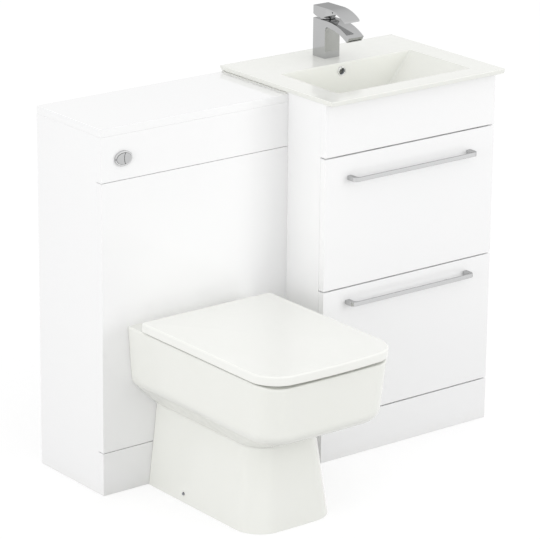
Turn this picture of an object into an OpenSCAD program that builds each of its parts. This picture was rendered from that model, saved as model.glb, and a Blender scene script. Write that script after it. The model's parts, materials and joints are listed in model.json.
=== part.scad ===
// Toilet and basin furniture run: a shallow toilet unit that hides a cistern, a back-to-wall toilet,
// and a deeper basin unit with two drawers, a slab basin and a waterfall tap.
// All sizes are in millimetres. Modules draw in the run's own axes: X runs right from the toilet
// unit's left side, Y is 0 at the wall and negative towards the room, Z is 0 at the floor.
// in_frame() then moves the run so that the origin is the middle of its footprint, on the floor.

/* [Toilet unit] */
// Width of the toilet unit
wc_w = 500; // [470:1:640]
// Depth of the toilet unit over its fronts
wc_d = 242; // [230:1:300]
// Height of the toilet unit over its worktop
wc_h = 828; // [815:1:860]

/* [Basin unit] */
// Width of the basin unit
van_w = 490; // [450:1:620]
// Depth of the basin unit over its fronts
van_d = 374; // [366:1:420]
// Height of the basin unit under its basin
van_h = 832; // [825:1:860]

/* [Boards] */
// Thickness of the carcass boards
board_t = 16; // [15:1:19]
// Thickness of the fronts and plinths
front_t = 18; // [15:1:19]
// Thickness of the worktop
top_t = 18; // [12:1:25]
// Height of the gap line above both plinths
plinth_line = 98.5; // [80:0.5:105]
// Height of the gap line under the upper strip and the top fascia
top_line = 709; // [700:1:715]
// Width of the gaps between fronts
front_gap = 3; // [2:0.5:4]
// Gap behind a closed drawer front
front_buffer = 0.5; // [0.3:0.1:0.8]
// Height of the cross rails at the back
back_rail_h = 100; // [60:1:105]
// Height of the cross rails behind the fronts
front_rail_h = 50; // [40:1:50]
// Radius of the wall screw holes in the back rails
wall_hole_r = 4; // [3:0.5:6]
// Distance between the wall screw holes of one rail
wall_hole_span = 300; // [200:1:340]

/* [Flush button] */
// Distance of the button from the unit's left side
btn_x = 56; // [50:1:70]
// Height of the button's centre
btn_z = 757.5; // [756:0.5:765]
// Half width of the oval bezel
bezel_rx = 22; // [21:0.5:26]
// Half height of the oval bezel
bezel_rz = 17; // [16.5:0.5:20]
// How far the bezel stands out of the strip
bezel_proud = 5; // [5:0.5:6]
// Width of the bezel's ring
bezel_rim = 3; // [2.5:0.5:4]
// Radius of the housing's neck through the strip
btn_neck_r = 15; // [14:0.5:16]
// Depth of the housing behind the strip
btn_depth = 34; // [24:1:40]
// Travel of the buttons
btn_travel = 3; // [2:0.5:3]

/* [Cistern] */
// Width of the cistern tank
tank_w = 350; // [330:1:380]
// Depth of the cistern tank
tank_d = 130; // [110:1:140]
// Height of the cistern tank
tank_h = 300; // [280:1:310]
// Wall of the cistern tank
tank_t = 4; // [3:0.5:6]
// Height of the tank's underside above the floor
tank_z = 455; // [445:1:460]
// Outer radius of the flush pipe
flush_r = 20; // [18:1:22]
// Wall of the flush pipe
flush_t = 2; // [1.5:0.5:3]
// Height of the pan's flush inlet
inlet_z = 335; // [330:1:336]
// Outer radius of the fill valve's threaded tail
tail_r = 10.48; // [9:0.01:12]
// Distance of the fill valve from the flush valve
fill_x = 120; // [100:1:130]
// Rise of the float from an empty tank to a full one
float_rise = 100; // [60:1:105]
// Lift of the full flush sleeve
full_lift = 9; // [6:1:10]
// Lift of the half flush float
half_lift = 6; // [4:1:6]

/* [Toilet pan] */
// Distance of the pan's centre line from the unit's left side
pan_x = 235.5; // [230:0.5:250]
// Height of the rim
rim_z = 379; // [375:1:385]
// Half width of the body at the rim
rim_hw = 170; // [165:1:180]
// Reach of the body from the panel at the rim
rim_reach = 497; // [490:1:500]
// Height of the body's lower edge
belly_z = 250; // [245:1:260]
// Half width of the body at its lower edge
belly_hw = 160; // [156:1:164]
// Reach of the body at its lower edge
belly_reach = 491; // [480:1:496]
// Height of the top of the foot
neck_z = 186; // [182:1:192]
// Half width of the top of the foot
neck_hw = 94; // [92:1:100]
// Reach of the top of the foot
neck_reach = 356; // [350:1:370]
// Half width of the foot on the floor
foot_hw = 116; // [112:1:122]
// Reach of the foot on the floor
foot_reach = 378; // [374:1:390]
// Thickness of the ceramic walls
pan_t = 12; // [10:1:13]
// Forward bulge of the front edges of seat and lid
front_bow = 10; // [6:1:12]
// Forward bulge of the pan's front
pan_bow = 4; // [0:1:8]
// Height of the soil outlet's centre
soil_z = 185; // [183:1:187]
// Outer radius of the pan's soil spigot
soil_r = 51; // [50:0.5:52]
// Outer radius of the soil pipe
soil_pipe_r = 55; // [54:0.5:56]
// Distance of the floor screws from the panel
fix_y = 128; // [110:1:150]
// Height of the floor screws
fix_z = 19; // [17:1:24]

/* [Seat and lid] */
// Half width of the lid
lid_hw = 174.5; // [173:0.5:180]
// Distance of the lid's back edge from the panel
lid_back = 55; // [52:1:60]
// Distance of the lid's front edge from the panel, at its corners
lid_reach = 499; // [496:1:510]
// Height of the lid's lower edge
lid_z = 383; // [383:0.5:384]
// Height of the lid's skirt and top together
lid_h = 22; // [22:0.5:26]
// Thickness of the lid's top
lid_top_t = 6; // [5:0.5:6]
// Thickness of the lid's skirt
lid_skirt_t = 4.5; // [3:0.5:5]
// Thickness of the seat
seat_t = 13; // [11:0.5:13]
// Gap between the seat and the lid's skirt
seat_gap = 1.5; // [1:0.5:2]
// Width of the seat ring at its sides
seat_ring_w = 55; // [50:1:60]
// Distance of each hinge from the pan's centre line
hinge_x = 77.5; // [75:0.5:80]
// Radius of the hinge pins
pin_r = 3; // [2.5:0.1:3]
// Running clearance of pins in their bores
run_clear = 0.06; // [0.04:0.01:0.09]

/* [Basin] */
// Overhang of the basin at each side of the basin unit
basin_side = 6; // [0:1:10]
// Overhang of the basin over the fronts
basin_front = 26; // [10:1:30]
// Thickness of the basin's slab
slab_t = 11; // [10:1:14]
// Half width of the bowl at the top
bowl_hw = 191; // [180:1:195]
// Distance of the bowl's back edge from the wall
bowl_back = 142; // [138:1:148]
// Distance of the bowl's front edge behind the unit's fronts
bowl_inset = 26; // [25:1:34]
// Depth of the bowl under the slab's top
bowl_depth = 104; // [95:1:106]
// Thickness of the bowl's wall
bowl_t = 8; // [7:0.5:8.5]
// Radius of the waste hole
waste_hole_r = 22.5; // [22:0.5:24]
// Radius of the tap hole
tap_hole_r = 17.5; // [17:0.5:18]
// Distance of the overflow's centre under the slab's top
overflow_drop = 19; // [17:1:24]
// Outer radius of the overflow ring
overflow_r = 12; // [10:0.5:13]

/* [Tap] */
// Width of the tap's body
tap_w = 46; // [42:1:50]
// Distance of the tap's back face from the wall
tap_back = 51; // [49:1:53]
// Depth of the tap's body
tap_d = 43; // [40:1:44]
// Height of the tap's body
tap_h = 88.5; // [86:0.5:95]
// Reach of the spout from the tap's back face
spout_reach = 124.7; // [120:0.1:130]
// Radius of the spout's upper curve
spout_r = 72.4; // [70:0.1:75]
// Reach of the lever from the tap's back face
lever_reach = 110; // [100:1:112]
// Radius of the lever's upper curve
lever_r = 134.7; // [125:0.1:150]
// Thickness of the lever's blade
blade_t = 3.5; // [3:0.5:5]

/* [Drawers] */
// Room behind the drawer boxes' front end inside the unit
box_room = 36; // [34:1:60]
// Thickness of a runner pair of members
runner_t = 12.7; // [12.7:0.1:13.5]
// Height of a runner
runner_h = 45; // [42:1:46]
// Metal thickness of the runners
runner_m = 1.2; // [1:0.1:1.4]
// Gap between neighbouring runner members
runner_gap = 0.8; // [0.6:0.1:0.9]
// Length of the drawer boxes over that of the runners
box_over = 20; // [10:1:30]
// Height of the drawer boxes
box_h = 160; // [120:1:180]
// Thickness of the drawer boxes' boards
box_t = 12; // [11:1:16]
// Thickness of the drawer floors
base_t = 6; // [4:1:8]
// Width of the cut-out round the trap
cut_w = 130; // [110:1:150]
// Distance of the upper handle from the top of its front
handle1_drop = 50; // [30:1:80]
// Distance of the lower handle from the top of its front
handle2_drop = 32; // [25:1:80]
// Length of the handles
handle_l = 356; // [250:1:380]
// How far the handles stand out
handle_out = 28; // [25:1:40]
// Height of the handles' strip
handle_h = 10; // [8:1:14]
// Thickness of the handles' strip
handle_t = 4; // [3:0.5:5]
// Radius of the handles' outer bends
handle_r = 20; // [12:1:24]

/* [Hidden] */
$fn = 64;

// Small overlap that joins or cuts cleanly
eps = 0.01;
cut = 1;
van_x = wc_w;
basin_x0 = van_x - basin_side;
basin_y0 = -van_d - basin_front;
bowl_front = van_d - bowl_inset;
basin_x1 = van_x + van_w + basin_side;
basin_mid = (basin_x0 + basin_x1) / 2;
run_w = wc_w + van_w + basin_side;
lid_front = lid_reach + front_bow;
run_d = wc_d + lid_front;
carcass_d = wc_d - front_t;
van_carcass_d = van_d - front_t;
box_l = van_carcass_d - box_room;
runner_l = box_l - box_over;
panel_y = -wc_d;
front_low = plinth_line + front_gap / 2;
front_high = top_line - front_gap / 2;
drawer_line = (top_line + plinth_line) / 2;
wc_top_z = wc_h - top_t;
WHITE = [0.97, 0.97, 0.98];
CARCASS = [0.93, 0.93, 0.94];
CERAMIC = [0.93, 0.94, 0.91];
CHROME = [0.72, 0.73, 0.75];
STEEL = [0.62, 0.64, 0.66];
PLASTIC = [0.9, 0.9, 0.88];
GREY = [0.5, 0.52, 0.54];
RUBBER = [0.15, 0.15, 0.16];

// Nothing reaches left of the toilet unit's side, so the run spans X 0 to run_w
module in_frame() {
    translate([-run_w / 2, run_d / 2, 0]) children();
}

// ---- shared shapes ----

// Board between two corners
module board(lo, hi) {
    translate(lo) cube(hi - lo);
}

// Cylinder along Y from y0 to y1
module y_rod(x, z, r, y0, y1, fn = $fn) {
    translate([x, y1, z]) rotate([90, 0, 0]) cylinder(r = r, h = y1 - y0, $fn = fn);
}

// Cylinder along X from x0 to x1
module x_rod(y, z, r, x0, x1) {
    translate([x0, y, z]) rotate([0, 90, 0]) cylinder(r = r, h = x1 - x0);
}

// Cylinder along Z from z0 to z1
module z_rod(x, y, r, z0, z1) {
    translate([x, y, z0]) cylinder(r = r, h = z1 - z0);
}

// Tube along Z
module z_tube(x, y, r_out, r_in, z0, z1) {
    difference() {
        z_rod(x, y, r_out, z0, z1);
        z_rod(x, y, r_in, z0 - cut, z1 + cut);
    }
}

// Points on an arc
function arc(cx, cy, r, a0, a1, n) =
    [for (i = [0:n]) let (a = a0 + (a1 - a0) * i / n) [cx + r * cos(a), cy + r * sin(a)]];

// Point pushed forward by the bow, most at the centre line
function bowed(p, hw, bow) = [p.x, p.y - bow * (1 - pow(p.x / hw, 2))];

// Outline with rounded corners, round the centre line: hw half width, back and front in Y
function outline(hw, back, front, rb, rf, bow = 0, n = 8) = concat(
    arc(hw - rb, back - rb, rb, 0, 90, 3),
    arc(-hw + rb, back - rb, rb, 90, 180, 3),
    [for (p = arc(-hw + rf, front + rf, rf, 180, 270, n)) bowed(p, hw, bow)],
    [for (i = [1:5]) bowed([(hw - rf) * (i / 3 - 1), front], hw, bow)],
    [for (p = arc(hw - rf, front + rf, rf, 270, 360, n)) bowed(p, hw, bow)]);

// Points that round the corner b between a and c, d away from it on each side
function corner(a, b, c, d, n = 3) =
    let (p = b + (a - b) * min(0.5, d / norm(a - b)), q = b + (c - b) * min(0.5, d / norm(c - b)))
    [for (i = [0:n]) let (t = i / n) (1 - t) * (1 - t) * p + 2 * t * (1 - t) * b + t * t * q];

// Closed skin over m rings of n points each, listed one ring after another
module skin(points, n, m) {
    polyhedron(
        points = points,
        faces = concat(
            [[for (i = [0:n - 1]) i]],
            [[for (i = [n - 1:-1:0]) (m - 1) * n + i]],
            [for (k = [0:m - 2]) for (i = [0:n - 1])
                each [[k * n + i, (k + 1) * n + i, (k + 1) * n + (i + 1) % n],
                      [k * n + i, (k + 1) * n + (i + 1) % n, k * n + (i + 1) % n]]]));
}

// Solid through outlines, each given with its height; all have the same number of points
module loft(rings, heights) {
    skin([for (k = [0:len(rings) - 1]) for (p = rings[k]) [p.x, p.y, heights[k]]], len(rings[0]), len(rings));
}

// Round bar of radius r along a path in the Y-Z plane; each station is [y, z, heading in degrees]
module sweep(path, r, n) {
    skin([for (s = path) for (i = [0:n - 1]) let (t = 360 * i / n)
        [r * cos(t), s[0] + r * sin(t) * sin(s[2]), s[1] - r * sin(t) * cos(s[2])]], n, len(path));
}

// Stations of a bend round the centre cy, cz, from one polar angle to another
function bend_path(cy, cz, r, p0, p1, n) = [for (i = [0:n]) let (p = p0 + (p1 - p0) * i / n)
    [cy + r * cos(p), cz + r * sin(p), p + (p1 > p0 ? 90 : -90)]];

// ---- toilet unit carcass ----

module wc_side_left() color(WHITE) in_frame()
    board([0, -carcass_d, 0], [board_t, 0, wc_top_z]);

module wc_side_right() color(WHITE) in_frame()
    board([wc_w - board_t, -carcass_d, 0], [wc_w, 0, wc_top_z]);

module wc_worktop() color(WHITE) in_frame()
    board([0, panel_y, wc_top_z], [wc_w, 0, wc_h]);

module wc_upper_strip() color(WHITE) in_frame()
    difference() {
        board([0, panel_y, top_line + front_gap / 2], [wc_w, -carcass_d, wc_top_z]);
        y_rod(btn_x, btn_z, btn_neck_r + panel_clear, panel_y - cut, -carcass_d + cut);
    }
// Clearance of what passes through a front
panel_clear = 0.5;

module wc_front_panel() color(WHITE) in_frame()
    difference() {
        board([0, panel_y, front_low], [wc_w, -carcass_d, front_high]);
        y_rod(pan_x, soil_z, socket_r + panel_clear, panel_y - cut, -carcass_d + cut);
        y_rod(pan_x, inlet_z, flush_r + 4 * panel_clear, panel_y - cut, -carcass_d + cut);
    }

module wc_plinth() color(WHITE) in_frame()
    board([0, panel_y, 0], [wc_w, -carcass_d, plinth_line - front_gap / 2]);

// Height of the lower back rail over the floor
low_rail_z = 10;
function rail_hole_xs(x0, w) = [x0 + w / 2 - wall_hole_span / 2, x0 + w / 2 + wall_hole_span / 2];

// Two back rails, the upper one drilled for the wall screws
module back_rails(x0, w, low_z, high_z) {
    board([x0 + board_t, -board_t, low_z], [x0 + w - board_t, 0, low_z + back_rail_h]);
    difference() {
        board([x0 + board_t, -board_t, high_z - back_rail_h], [x0 + w - board_t, 0, high_z]);
        for (x = rail_hole_xs(x0, w))
            y_rod(x, high_z - wall_hole_drop, wall_hole_r, -board_t - cut, cut);
    }
}
// Distance of the wall screws under the upper rail's top edge
wall_hole_drop = 28;

module wc_rails() color(CARCASS) in_frame() {
    back_rails(0, wc_w, low_rail_z, wc_top_z);
    for (z = [plinth_line, top_line])
        board([board_t, -carcass_d, z - front_rail_h / 2],
              [wc_w - board_t, -carcass_d + board_t, z + front_rail_h / 2]);
    board([board_t, -carcass_d, wc_top_z - board_t],
          [wc_w - board_t, -carcass_d + front_rail_h, wc_top_z]);
}

// ---- flush button ----

// Outline of an oval
function oval(rx, rz, n = 48) = [for (i = [0:n - 1]) [rx * cos(360 * i / n), rz * sin(360 * i / n)]];
bezel_y = panel_y - bezel_proud;
// Thickness of the bezel's floor; the caps stop on it when pressed
bezel_floor = 1;
cap_back_y = panel_y - bezel_floor - btn_travel - eps;
btn_back_y = -carcass_d + btn_depth;
// Clearance round the two buttons
btn_clear = 0.4;
// Offset and radius of the curved split between the buttons
split_x = 1;
split_r = 30;
// Gap between the two buttons
split_gap = 1;
// The button well leaves the stems room to travel
stem_l = 3;
well_y = panel_y + stem_l + btn_travel + 1.5;
housing_wall = 1.5;

// Extrusion of an X-Z outline from y0 to y1
module face_extrude(y0, y1) {
    translate([0, y1, 0]) rotate([90, 0, 0]) linear_extrude(y1 - y0) children();
}

module button_housing() color(PLASTIC) in_frame()
    difference() {
        union() {
            y_rod(btn_x, btn_z, btn_neck_r, panel_y, btn_back_y);
            y_rod(btn_x, btn_z, btn_neck_r + housing_nut, -carcass_d, -carcass_d + 2 * housing_nut);
            for (s = [-1, 1]) y_rod(btn_x + s * nipple_x, btn_z, nipple_r, btn_back_y - cut, btn_back_y + nipple_l);
        }
        y_rod(btn_x, btn_z, btn_neck_r - housing_wall, panel_y - cut, well_y);
    }
// Hose nipples behind the housing and its fixing nut
nipple_x = 6;
nipple_r = 3;
nipple_l = 10;
housing_nut = 5;

module button_bezel() color(CHROME) in_frame()
    difference() {
        translate([btn_x, 0, btn_z]) face_extrude(bezel_y, panel_y) polygon(oval(bezel_rx, bezel_rz));
        translate([btn_x, 0, btn_z]) face_extrude(bezel_y - cut, panel_y - bezel_floor)
            polygon(oval(bezel_rx - bezel_rim, bezel_rz - bezel_rim));
        y_rod(btn_x, btn_z, btn_neck_r - housing_wall, bezel_y - cut, panel_y + cut);
        y_rod(btn_x - bezel_rx, btn_z, notch_r, bezel_y - cut, bezel_y + 1);
    }
// Radius of the bezel's finger notch
notch_r = 1.5;

// One half of the oval: side 1 is right of the split, side -1 left of it
module button_cap(side) {
    rx = bezel_rx - bezel_rim - btn_clear;
    rz = bezel_rz - bezel_rim - btn_clear;
    translate([btn_x, 0, btn_z]) {
        face_extrude(bezel_y - btn_crown, cap_back_y) button_half(side, rx, rz);
        face_extrude(cap_back_y - eps, panel_y + stem_l)
            intersection() {
                circle(r = btn_neck_r - housing_wall - btn_clear);
                button_half(side, rx, rz);
                square([2 * stem_hw, 4 * bezel_rz], center = true);
            }
    }
}
module button_half(side, rx, rz) {
    if (side > 0) intersection() {
        polygon(oval(rx, rz));
        translate([split_x + split_r, 0]) circle(r = split_r);
    }
    else difference() {
        polygon(oval(rx, rz));
        translate([split_x + split_r, 0]) circle(r = split_r + split_gap);
    }
}
// How far the caps stand out of the bezel, and their stems' half width
btn_crown = 1;
stem_hw = 9;

module full_flush_button() color(CHROME) in_frame() button_cap(-1);
module half_flush_button() color(CHROME) in_frame() button_cap(1);

// ---- cistern ----

tank_x0 = pan_x - tank_w / 2;
tank_back = -board_t;
tank_y = tank_back - tank_d / 2;
tank_top = tank_z + tank_h;
// Radius of the flush valve's threaded spigot and of the hole for it
spigot_r = 30;
hole_clear = 0.5;
// Backnuts under the tank
nut_t = 8;
nut_over = 8;
fill_cx = pan_x + fill_x;

module cistern_tank() color(PLASTIC) in_frame()
    difference() {
        board([tank_x0, tank_back - tank_d, tank_z], [tank_x0 + tank_w, tank_back, tank_top]);
        board([tank_x0 + tank_t, tank_back - tank_d + tank_t, tank_z + tank_t],
              [tank_x0 + tank_w - tank_t, tank_back - tank_t, tank_top + cut]);
        z_rod(pan_x, tank_y, spigot_r + hole_clear, tank_z - cut, tank_z + tank_t + cut);
        z_rod(fill_cx, tank_y, tail_r + hole_clear, tank_z - cut, tank_z + tank_t + cut);
    }

module cistern_lid() color(PLASTIC) in_frame() {
    difference() {
        board([tank_x0 - lid_lap, tank_back - tank_d - lid_lap, tank_top],
              [tank_x0 + tank_w + lid_lap, tank_back, tank_top + tank_t]);
        z_rod(pan_x, tank_y, lid_port_r, tank_top - cut, tank_top + tank_t + cut);
    }
    difference() {
        board([tank_x0 - lid_lap, tank_back - tank_d - lid_lap, tank_top - lid_drop],
              [tank_x0 + tank_w + lid_lap, tank_back - tank_d, tank_top + eps]);
        board([tank_x0 - lid_lap - cut, tank_back - tank_d - hole_clear / 2, tank_top - lid_drop - cut],
              [tank_x0 + tank_w + lid_lap + cut, tank_back - tank_d + cut, tank_top]);
    }
}
// Overlap of the cistern lid over the tank and its front lip
lid_lap = 3;
lid_drop = 12;
lid_port_r = 28;

// Hollow valve column: spigot through the tank, seat, four guide ribs and a top ring
ovf_r = 11;
ovf_t = 1.5;
valve_base_r = 36;
valve_base_t = 8;
seat_r = 20;
cage_r = 33;
cage_t = 4;
cage_h = 60;
guide_clear = 0.5;
valve_floor = tank_z + tank_t;
valve_base_top = valve_floor + valve_base_t;
cage_top = valve_base_top + cage_h;

module flush_valve_body() color(PLASTIC) in_frame() {
    z_tube(pan_x, tank_y, valve_base_r, seat_r, valve_floor, valve_base_top);
    z_tube(pan_x, tank_y, spigot_r, flush_r + hole_clear, tank_z - spigot_l, valve_floor + eps);
    z_tube(pan_x, tank_y, spigot_r + nut_over, spigot_r - eps, tank_z - nut_t, tank_z);
    for (a = [45:90:315])
        translate([pan_x, tank_y, valve_base_top - eps]) rotate(a)
            translate([cage_r - cage_t, -cage_t / 2, 0]) cube([cage_t, cage_t, cage_h + 2 * eps]);
    z_tube(pan_x, tank_y, cage_r, half_r + guide_clear, cage_top, cage_top + cage_t);
}
// Length of the spigot under the tank
spigot_l = 30;

// Overflow tube with the sealing disc at its foot: it lifts for a full flush
ovf_top = tank_z + tank_h - 60;
disc_t = 5;
disc_gap = 0.3;

module full_flush_sleeve() color(GREY) in_frame() {
    z_tube(pan_x, tank_y, seat_r + 6, ovf_r - ovf_t, valve_base_top + disc_gap, valve_base_top + disc_gap + disc_t);
    z_tube(pan_x, tank_y, ovf_r, ovf_r - ovf_t, valve_base_top + disc_gap + disc_t - eps, ovf_top);
}

// Float cup that rides on the overflow tube: it lifts for a half flush
half_r = 24;
half_h = 50;
half_z = valve_base_top + disc_gap + disc_t + full_lift + 5;

module half_flush_float() color(PLASTIC) in_frame() {
    z_tube(pan_x, tank_y, ovf_r + guide_clear + ovf_t, ovf_r + guide_clear, half_z, half_z + half_h);
    z_tube(pan_x, tank_y, half_r, half_r - ovf_t, half_z + half_h - 20, half_z + half_h);
    z_tube(pan_x, tank_y, half_r, ovf_r + guide_clear + ovf_t - eps, half_z + half_h - 20, half_z + half_h - 20 + ovf_t);
}

// Column of the fill valve, with its tail through the tank, backnut and head
fill_r = 8;
fill_top = tank_top - 30;
head_r = 16;
head_h = 30;
tail_l = 34;
float_r = 22;
float_h = 60;
float_z = tank_z + 70;

module fill_valve() color(GREY) in_frame() {
    z_tube(fill_cx, tank_y, tail_r, fill_r - 3, tank_z - tail_l, valve_floor);
    z_tube(fill_cx, tank_y, tail_r + nut_over, tail_r - eps, tank_z - nut_t, tank_z);
    z_tube(fill_cx, tank_y, tail_r + nut_over, fill_r - 3, valve_floor, valve_floor + nut_t / 2);
    z_tube(fill_cx, tank_y, fill_r, fill_r - 3, valve_floor, fill_top);
    z_rod(fill_cx, tank_y, head_r, fill_top - head_h, fill_top);
    z_tube(fill_cx, tank_y, fill_r + 4, fill_r - eps, float_z - 4, float_z - disc_gap);
}

module fill_valve_float() color(PLASTIC) in_frame()
    difference() {
        z_rod(fill_cx, tank_y, float_r, float_z, float_z + float_h);
        z_rod(fill_cx, tank_y, fill_r + guide_clear, float_z - cut, float_z + float_h + cut);
        difference() {
            z_rod(fill_cx, tank_y, float_r - ovf_t, float_z - cut, float_z + float_h - ovf_t);
            z_rod(fill_cx, tank_y, fill_r + guide_clear + ovf_t, float_z - 2 * cut, float_z + float_h);
        }
    }

// Pipe from the valve's spigot down and forward into the pan's inlet
bend_r = 45;
pipe_end_y = panel_y - 16;
pipe_top = tank_z - 5;

module pipe_bend(r) {
    translate([pan_x, tank_y, inlet_z]) {
        translate([0, 0, bend_r]) cylinder(r = r, h = pipe_top - inlet_z - bend_r);
        translate([0, -bend_r, bend_r]) rotate([0, 90, 0]) rotate([0, 0, 0])
            rotate_extrude(angle = 90) translate([bend_r, 0]) circle(r = r);
    }
    y_rod(pan_x, inlet_z, r, pipe_end_y, tank_y - bend_r);
}

module flush_pipe() color(PLASTIC) in_frame()
    difference() {
        pipe_bend(flush_r);
        pipe_bend(flush_r - flush_t);
        z_rod(pan_x, tank_y, flush_r - flush_t, pipe_top - cut, pipe_top + cut);
        y_rod(pan_x, inlet_z, flush_r - flush_t, pipe_end_y - cut, pipe_end_y + cut);
    }

// Rubber cone between the flush pipe and the pan's inlet socket
inlet_r = 27.5;
cone_l = 14;
cone_lip = 3;
fit_clear = 0.3;

module flush_cone() color(RUBBER) in_frame()
    difference() {
        y_rod(pan_x, inlet_z, inlet_r - fit_clear, pipe_end_y - 2, panel_y - fit_clear);
        y_rod(pan_x, inlet_z, flush_r + fit_clear / 3, pipe_end_y - cone_l, panel_y + cut);
    }

// Straight soil connector: a socket over the pan's spigot and a pipe to the wall
soil_pipe_t = 3;
// Distance of the pipe's stop bead from the wall
soil_stop = 60;
socket_r = soil_pipe_r + 5;
socket_y0 = panel_y - 30;
socket_y1 = panel_y + 12;

module soil_connector() color(PLASTIC) in_frame()
    difference() {
        union() {
            y_rod(pan_x, soil_z, soil_pipe_r, socket_y1 - eps, 0);
            y_rod(pan_x, soil_z, socket_r, socket_y0, socket_y1);
            y_rod(pan_x, soil_z, socket_r - 2, -soil_stop - 4, -soil_stop);
        }
        y_rod(pan_x, soil_z, soil_pipe_r - soil_pipe_t, socket_y1 - 2 * cut, cut);
        y_rod(pan_x, soil_z, soil_r + fit_clear, socket_y0 - cut, socket_y1 - cut);
    }

// ---- toilet pan ----

// Stations of a profile: height, half width, reach from the panel, front corner radius
foot_corner = 50;
neck_corner = 44;
belly_corner = 38;
rim_corner = 48;
neck_blend = 10;
belly_blend = 14;
rim_edge = 7;
back_corner = 4;

foot_s = [0, foot_hw, foot_reach, foot_corner];
neck_s = [neck_z, neck_hw, neck_reach, neck_corner];
belly_s = [belly_z, belly_hw, belly_reach, belly_corner];
rim_s = [rim_z, rim_hw, rim_reach, rim_corner];
rim_in_s = [rim_z, rim_hw - 2 * rim_edge, rim_reach - 2 * rim_edge, rim_corner - rim_edge];
pan_stations = concat([foot_s], corner(foot_s, neck_s, belly_s, neck_blend),
    corner(neck_s, belly_s, rim_s, belly_blend, 4), corner(belly_s, rim_s, rim_in_s, rim_edge, 4));

// The same profile one wall thickness in, open at the floor and at the panel
in_foot_s = [-cut, foot_hw - pan_t, foot_reach - pan_t, foot_corner - pan_t];
in_neck_s = [neck_z + pan_t / 2, neck_hw - pan_t, neck_reach - pan_t, neck_corner - pan_t];
in_belly_s = [belly_z + pan_t / 2, belly_hw - pan_t, belly_reach - pan_t, belly_corner - pan_t];
deck_t = 16;
in_rim_s = [rim_z - deck_t, rim_hw - pan_t, rim_reach - pan_t, rim_corner - pan_t];
hollow_stations = [in_foot_s, in_neck_s, in_belly_s, in_rim_s];

module station_loft(stations, back, bow) {
    loft([for (s = stations) outline(s[1], back, panel_y - s[2], back_corner, s[3], bow)],
         [for (s = stations) s[0]]);
}

// Bowl stations: height, half width, back, front, corner radius; g grows them to the shell's outside
sump_z = 95;
sump_mid = 231;
sump_hw = 26;
sump_hl = 31;
throat_z = 160;
throat_hw = 44;
throat_back = 200;
throat_front = 292;
slope_z = 235;
slope_hw = 78;
slope_back = 205;
slope_front = 372;
bowl_lip_hw = 118;
bowl_lip_back = 112;
bowl_lip_front = 456;
function bowl_stations(g) = [
    [sump_z - g, sump_hw + g, sump_mid - sump_hl - g, sump_mid + sump_hl + g, sump_hw + g],
    [sump_z + 12 - g / 2, sump_hw + 10 + g, sump_mid - sump_hl - 6 - g, sump_mid + sump_hl + 12 + g, sump_hw + 9 + g],
    [throat_z, throat_hw + g, throat_back - g, throat_front + g, throat_hw + g],
    [slope_z, slope_hw + g, slope_back - g, slope_front + g, slope_hw - 6 + g],
    [rim_z - 50, bowl_lip_hw - 5 + g, bowl_lip_back + 8 - g, bowl_lip_front - 6 + g, bowl_lip_hw - 34 + g],
    [rim_z - 14, bowl_lip_hw + g, bowl_lip_back - g, bowl_lip_front + g, bowl_lip_hw - 32 + g],
    [rim_z + (g > 0 ? -deck_t / 2 : cut), bowl_lip_hw + g, bowl_lip_back - g, bowl_lip_front + g, bowl_lip_hw - 32 + g]];

module bowl_form(g) {
    loft([for (s = bowl_stations(g)) outline(s[1], panel_y - s[2], panel_y - s[3], s[4], s[4])],
         [for (s = bowl_stations(g)) s[0]]);
}

// Waterway from the sump up over the weir and down to the outlet, in the pan's middle plane
way_r = 26;
way_t = 7;
way_bend = 34;
way_start = 198;
way_fn = 24;
// Depth of the water that the weir holds over the top of the waterway's entry
way_seal = 50;
way_z = sump_z + way_r;
way_rise = way_seal + 2 * way_r - 2 * way_bend;
crest_z = way_z + 2 * way_bend + way_rise;
way_tilt = acos(1 - (crest_z - soil_z) / (2 * way_bend));
way_y0 = panel_y - way_start;
way_end_y = way_y0 + 2 * way_bend + 2 * way_bend * sin(way_tilt);

// Path of the waterway: into the sump by lead, up, over the weir, down and out
function way_path(lead) = let (
        y1 = way_y0 + 2 * way_bend,
        y2 = y1 + 2 * way_bend * sin(way_tilt))
    concat([[way_y0 - lead, way_z, 0]],
        bend_path(way_y0, way_z + way_bend, way_bend, -90, 0, 6),
        bend_path(y1, crest_z - way_bend, way_bend, 180, 90 - way_tilt, 10),
        [for (i = [1:5]) bend_path(y2, soil_z + way_bend, way_bend, -90 - way_tilt, -90, 5)[i]]);

module waterway(r, lead) {
    translate([pan_x, 0, 0]) sweep(way_path(lead), r, way_fn);
}

// Hinge holes in the deck
hinge_in = 10.5;
hinge_y = panel_y - lid_back - hinge_in;
bolt_r = 4;
spigot_end_y = panel_y - 4;

// Body of the pan: one smooth ceramic form without its screw holes
module pan_body()
    difference() {
        union() {
            translate([pan_x, 0, 0]) difference() {
                station_loft(pan_stations, panel_y, pan_bow);
                station_loft(hollow_stations, panel_y + pan_t, pan_bow);
            }
            translate([pan_x, 0, 0]) bowl_form(pan_t - 3);
            waterway(way_r + way_t, way_r);
            y_rod(pan_x, soil_z, soil_r, way_end_y - way_t, spigot_end_y, 48);
            y_rod(pan_x, inlet_z, inlet_r + pan_t / 2, panel_y - bowl_lip_back - 2, panel_y);
        }
        translate([pan_x, 0, 0]) bowl_form(0);
        waterway(way_r, way_r);
        y_rod(pan_x, soil_z, soil_r - way_t, way_end_y - 1, spigot_end_y + cut, 48);
        y_rod(pan_x, inlet_z, inlet_r, panel_y - 30, panel_y + cut);
        y_rod(pan_x, inlet_z, flush_r - flush_t, panel_y - bowl_lip_back - 20, panel_y);
    }

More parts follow.
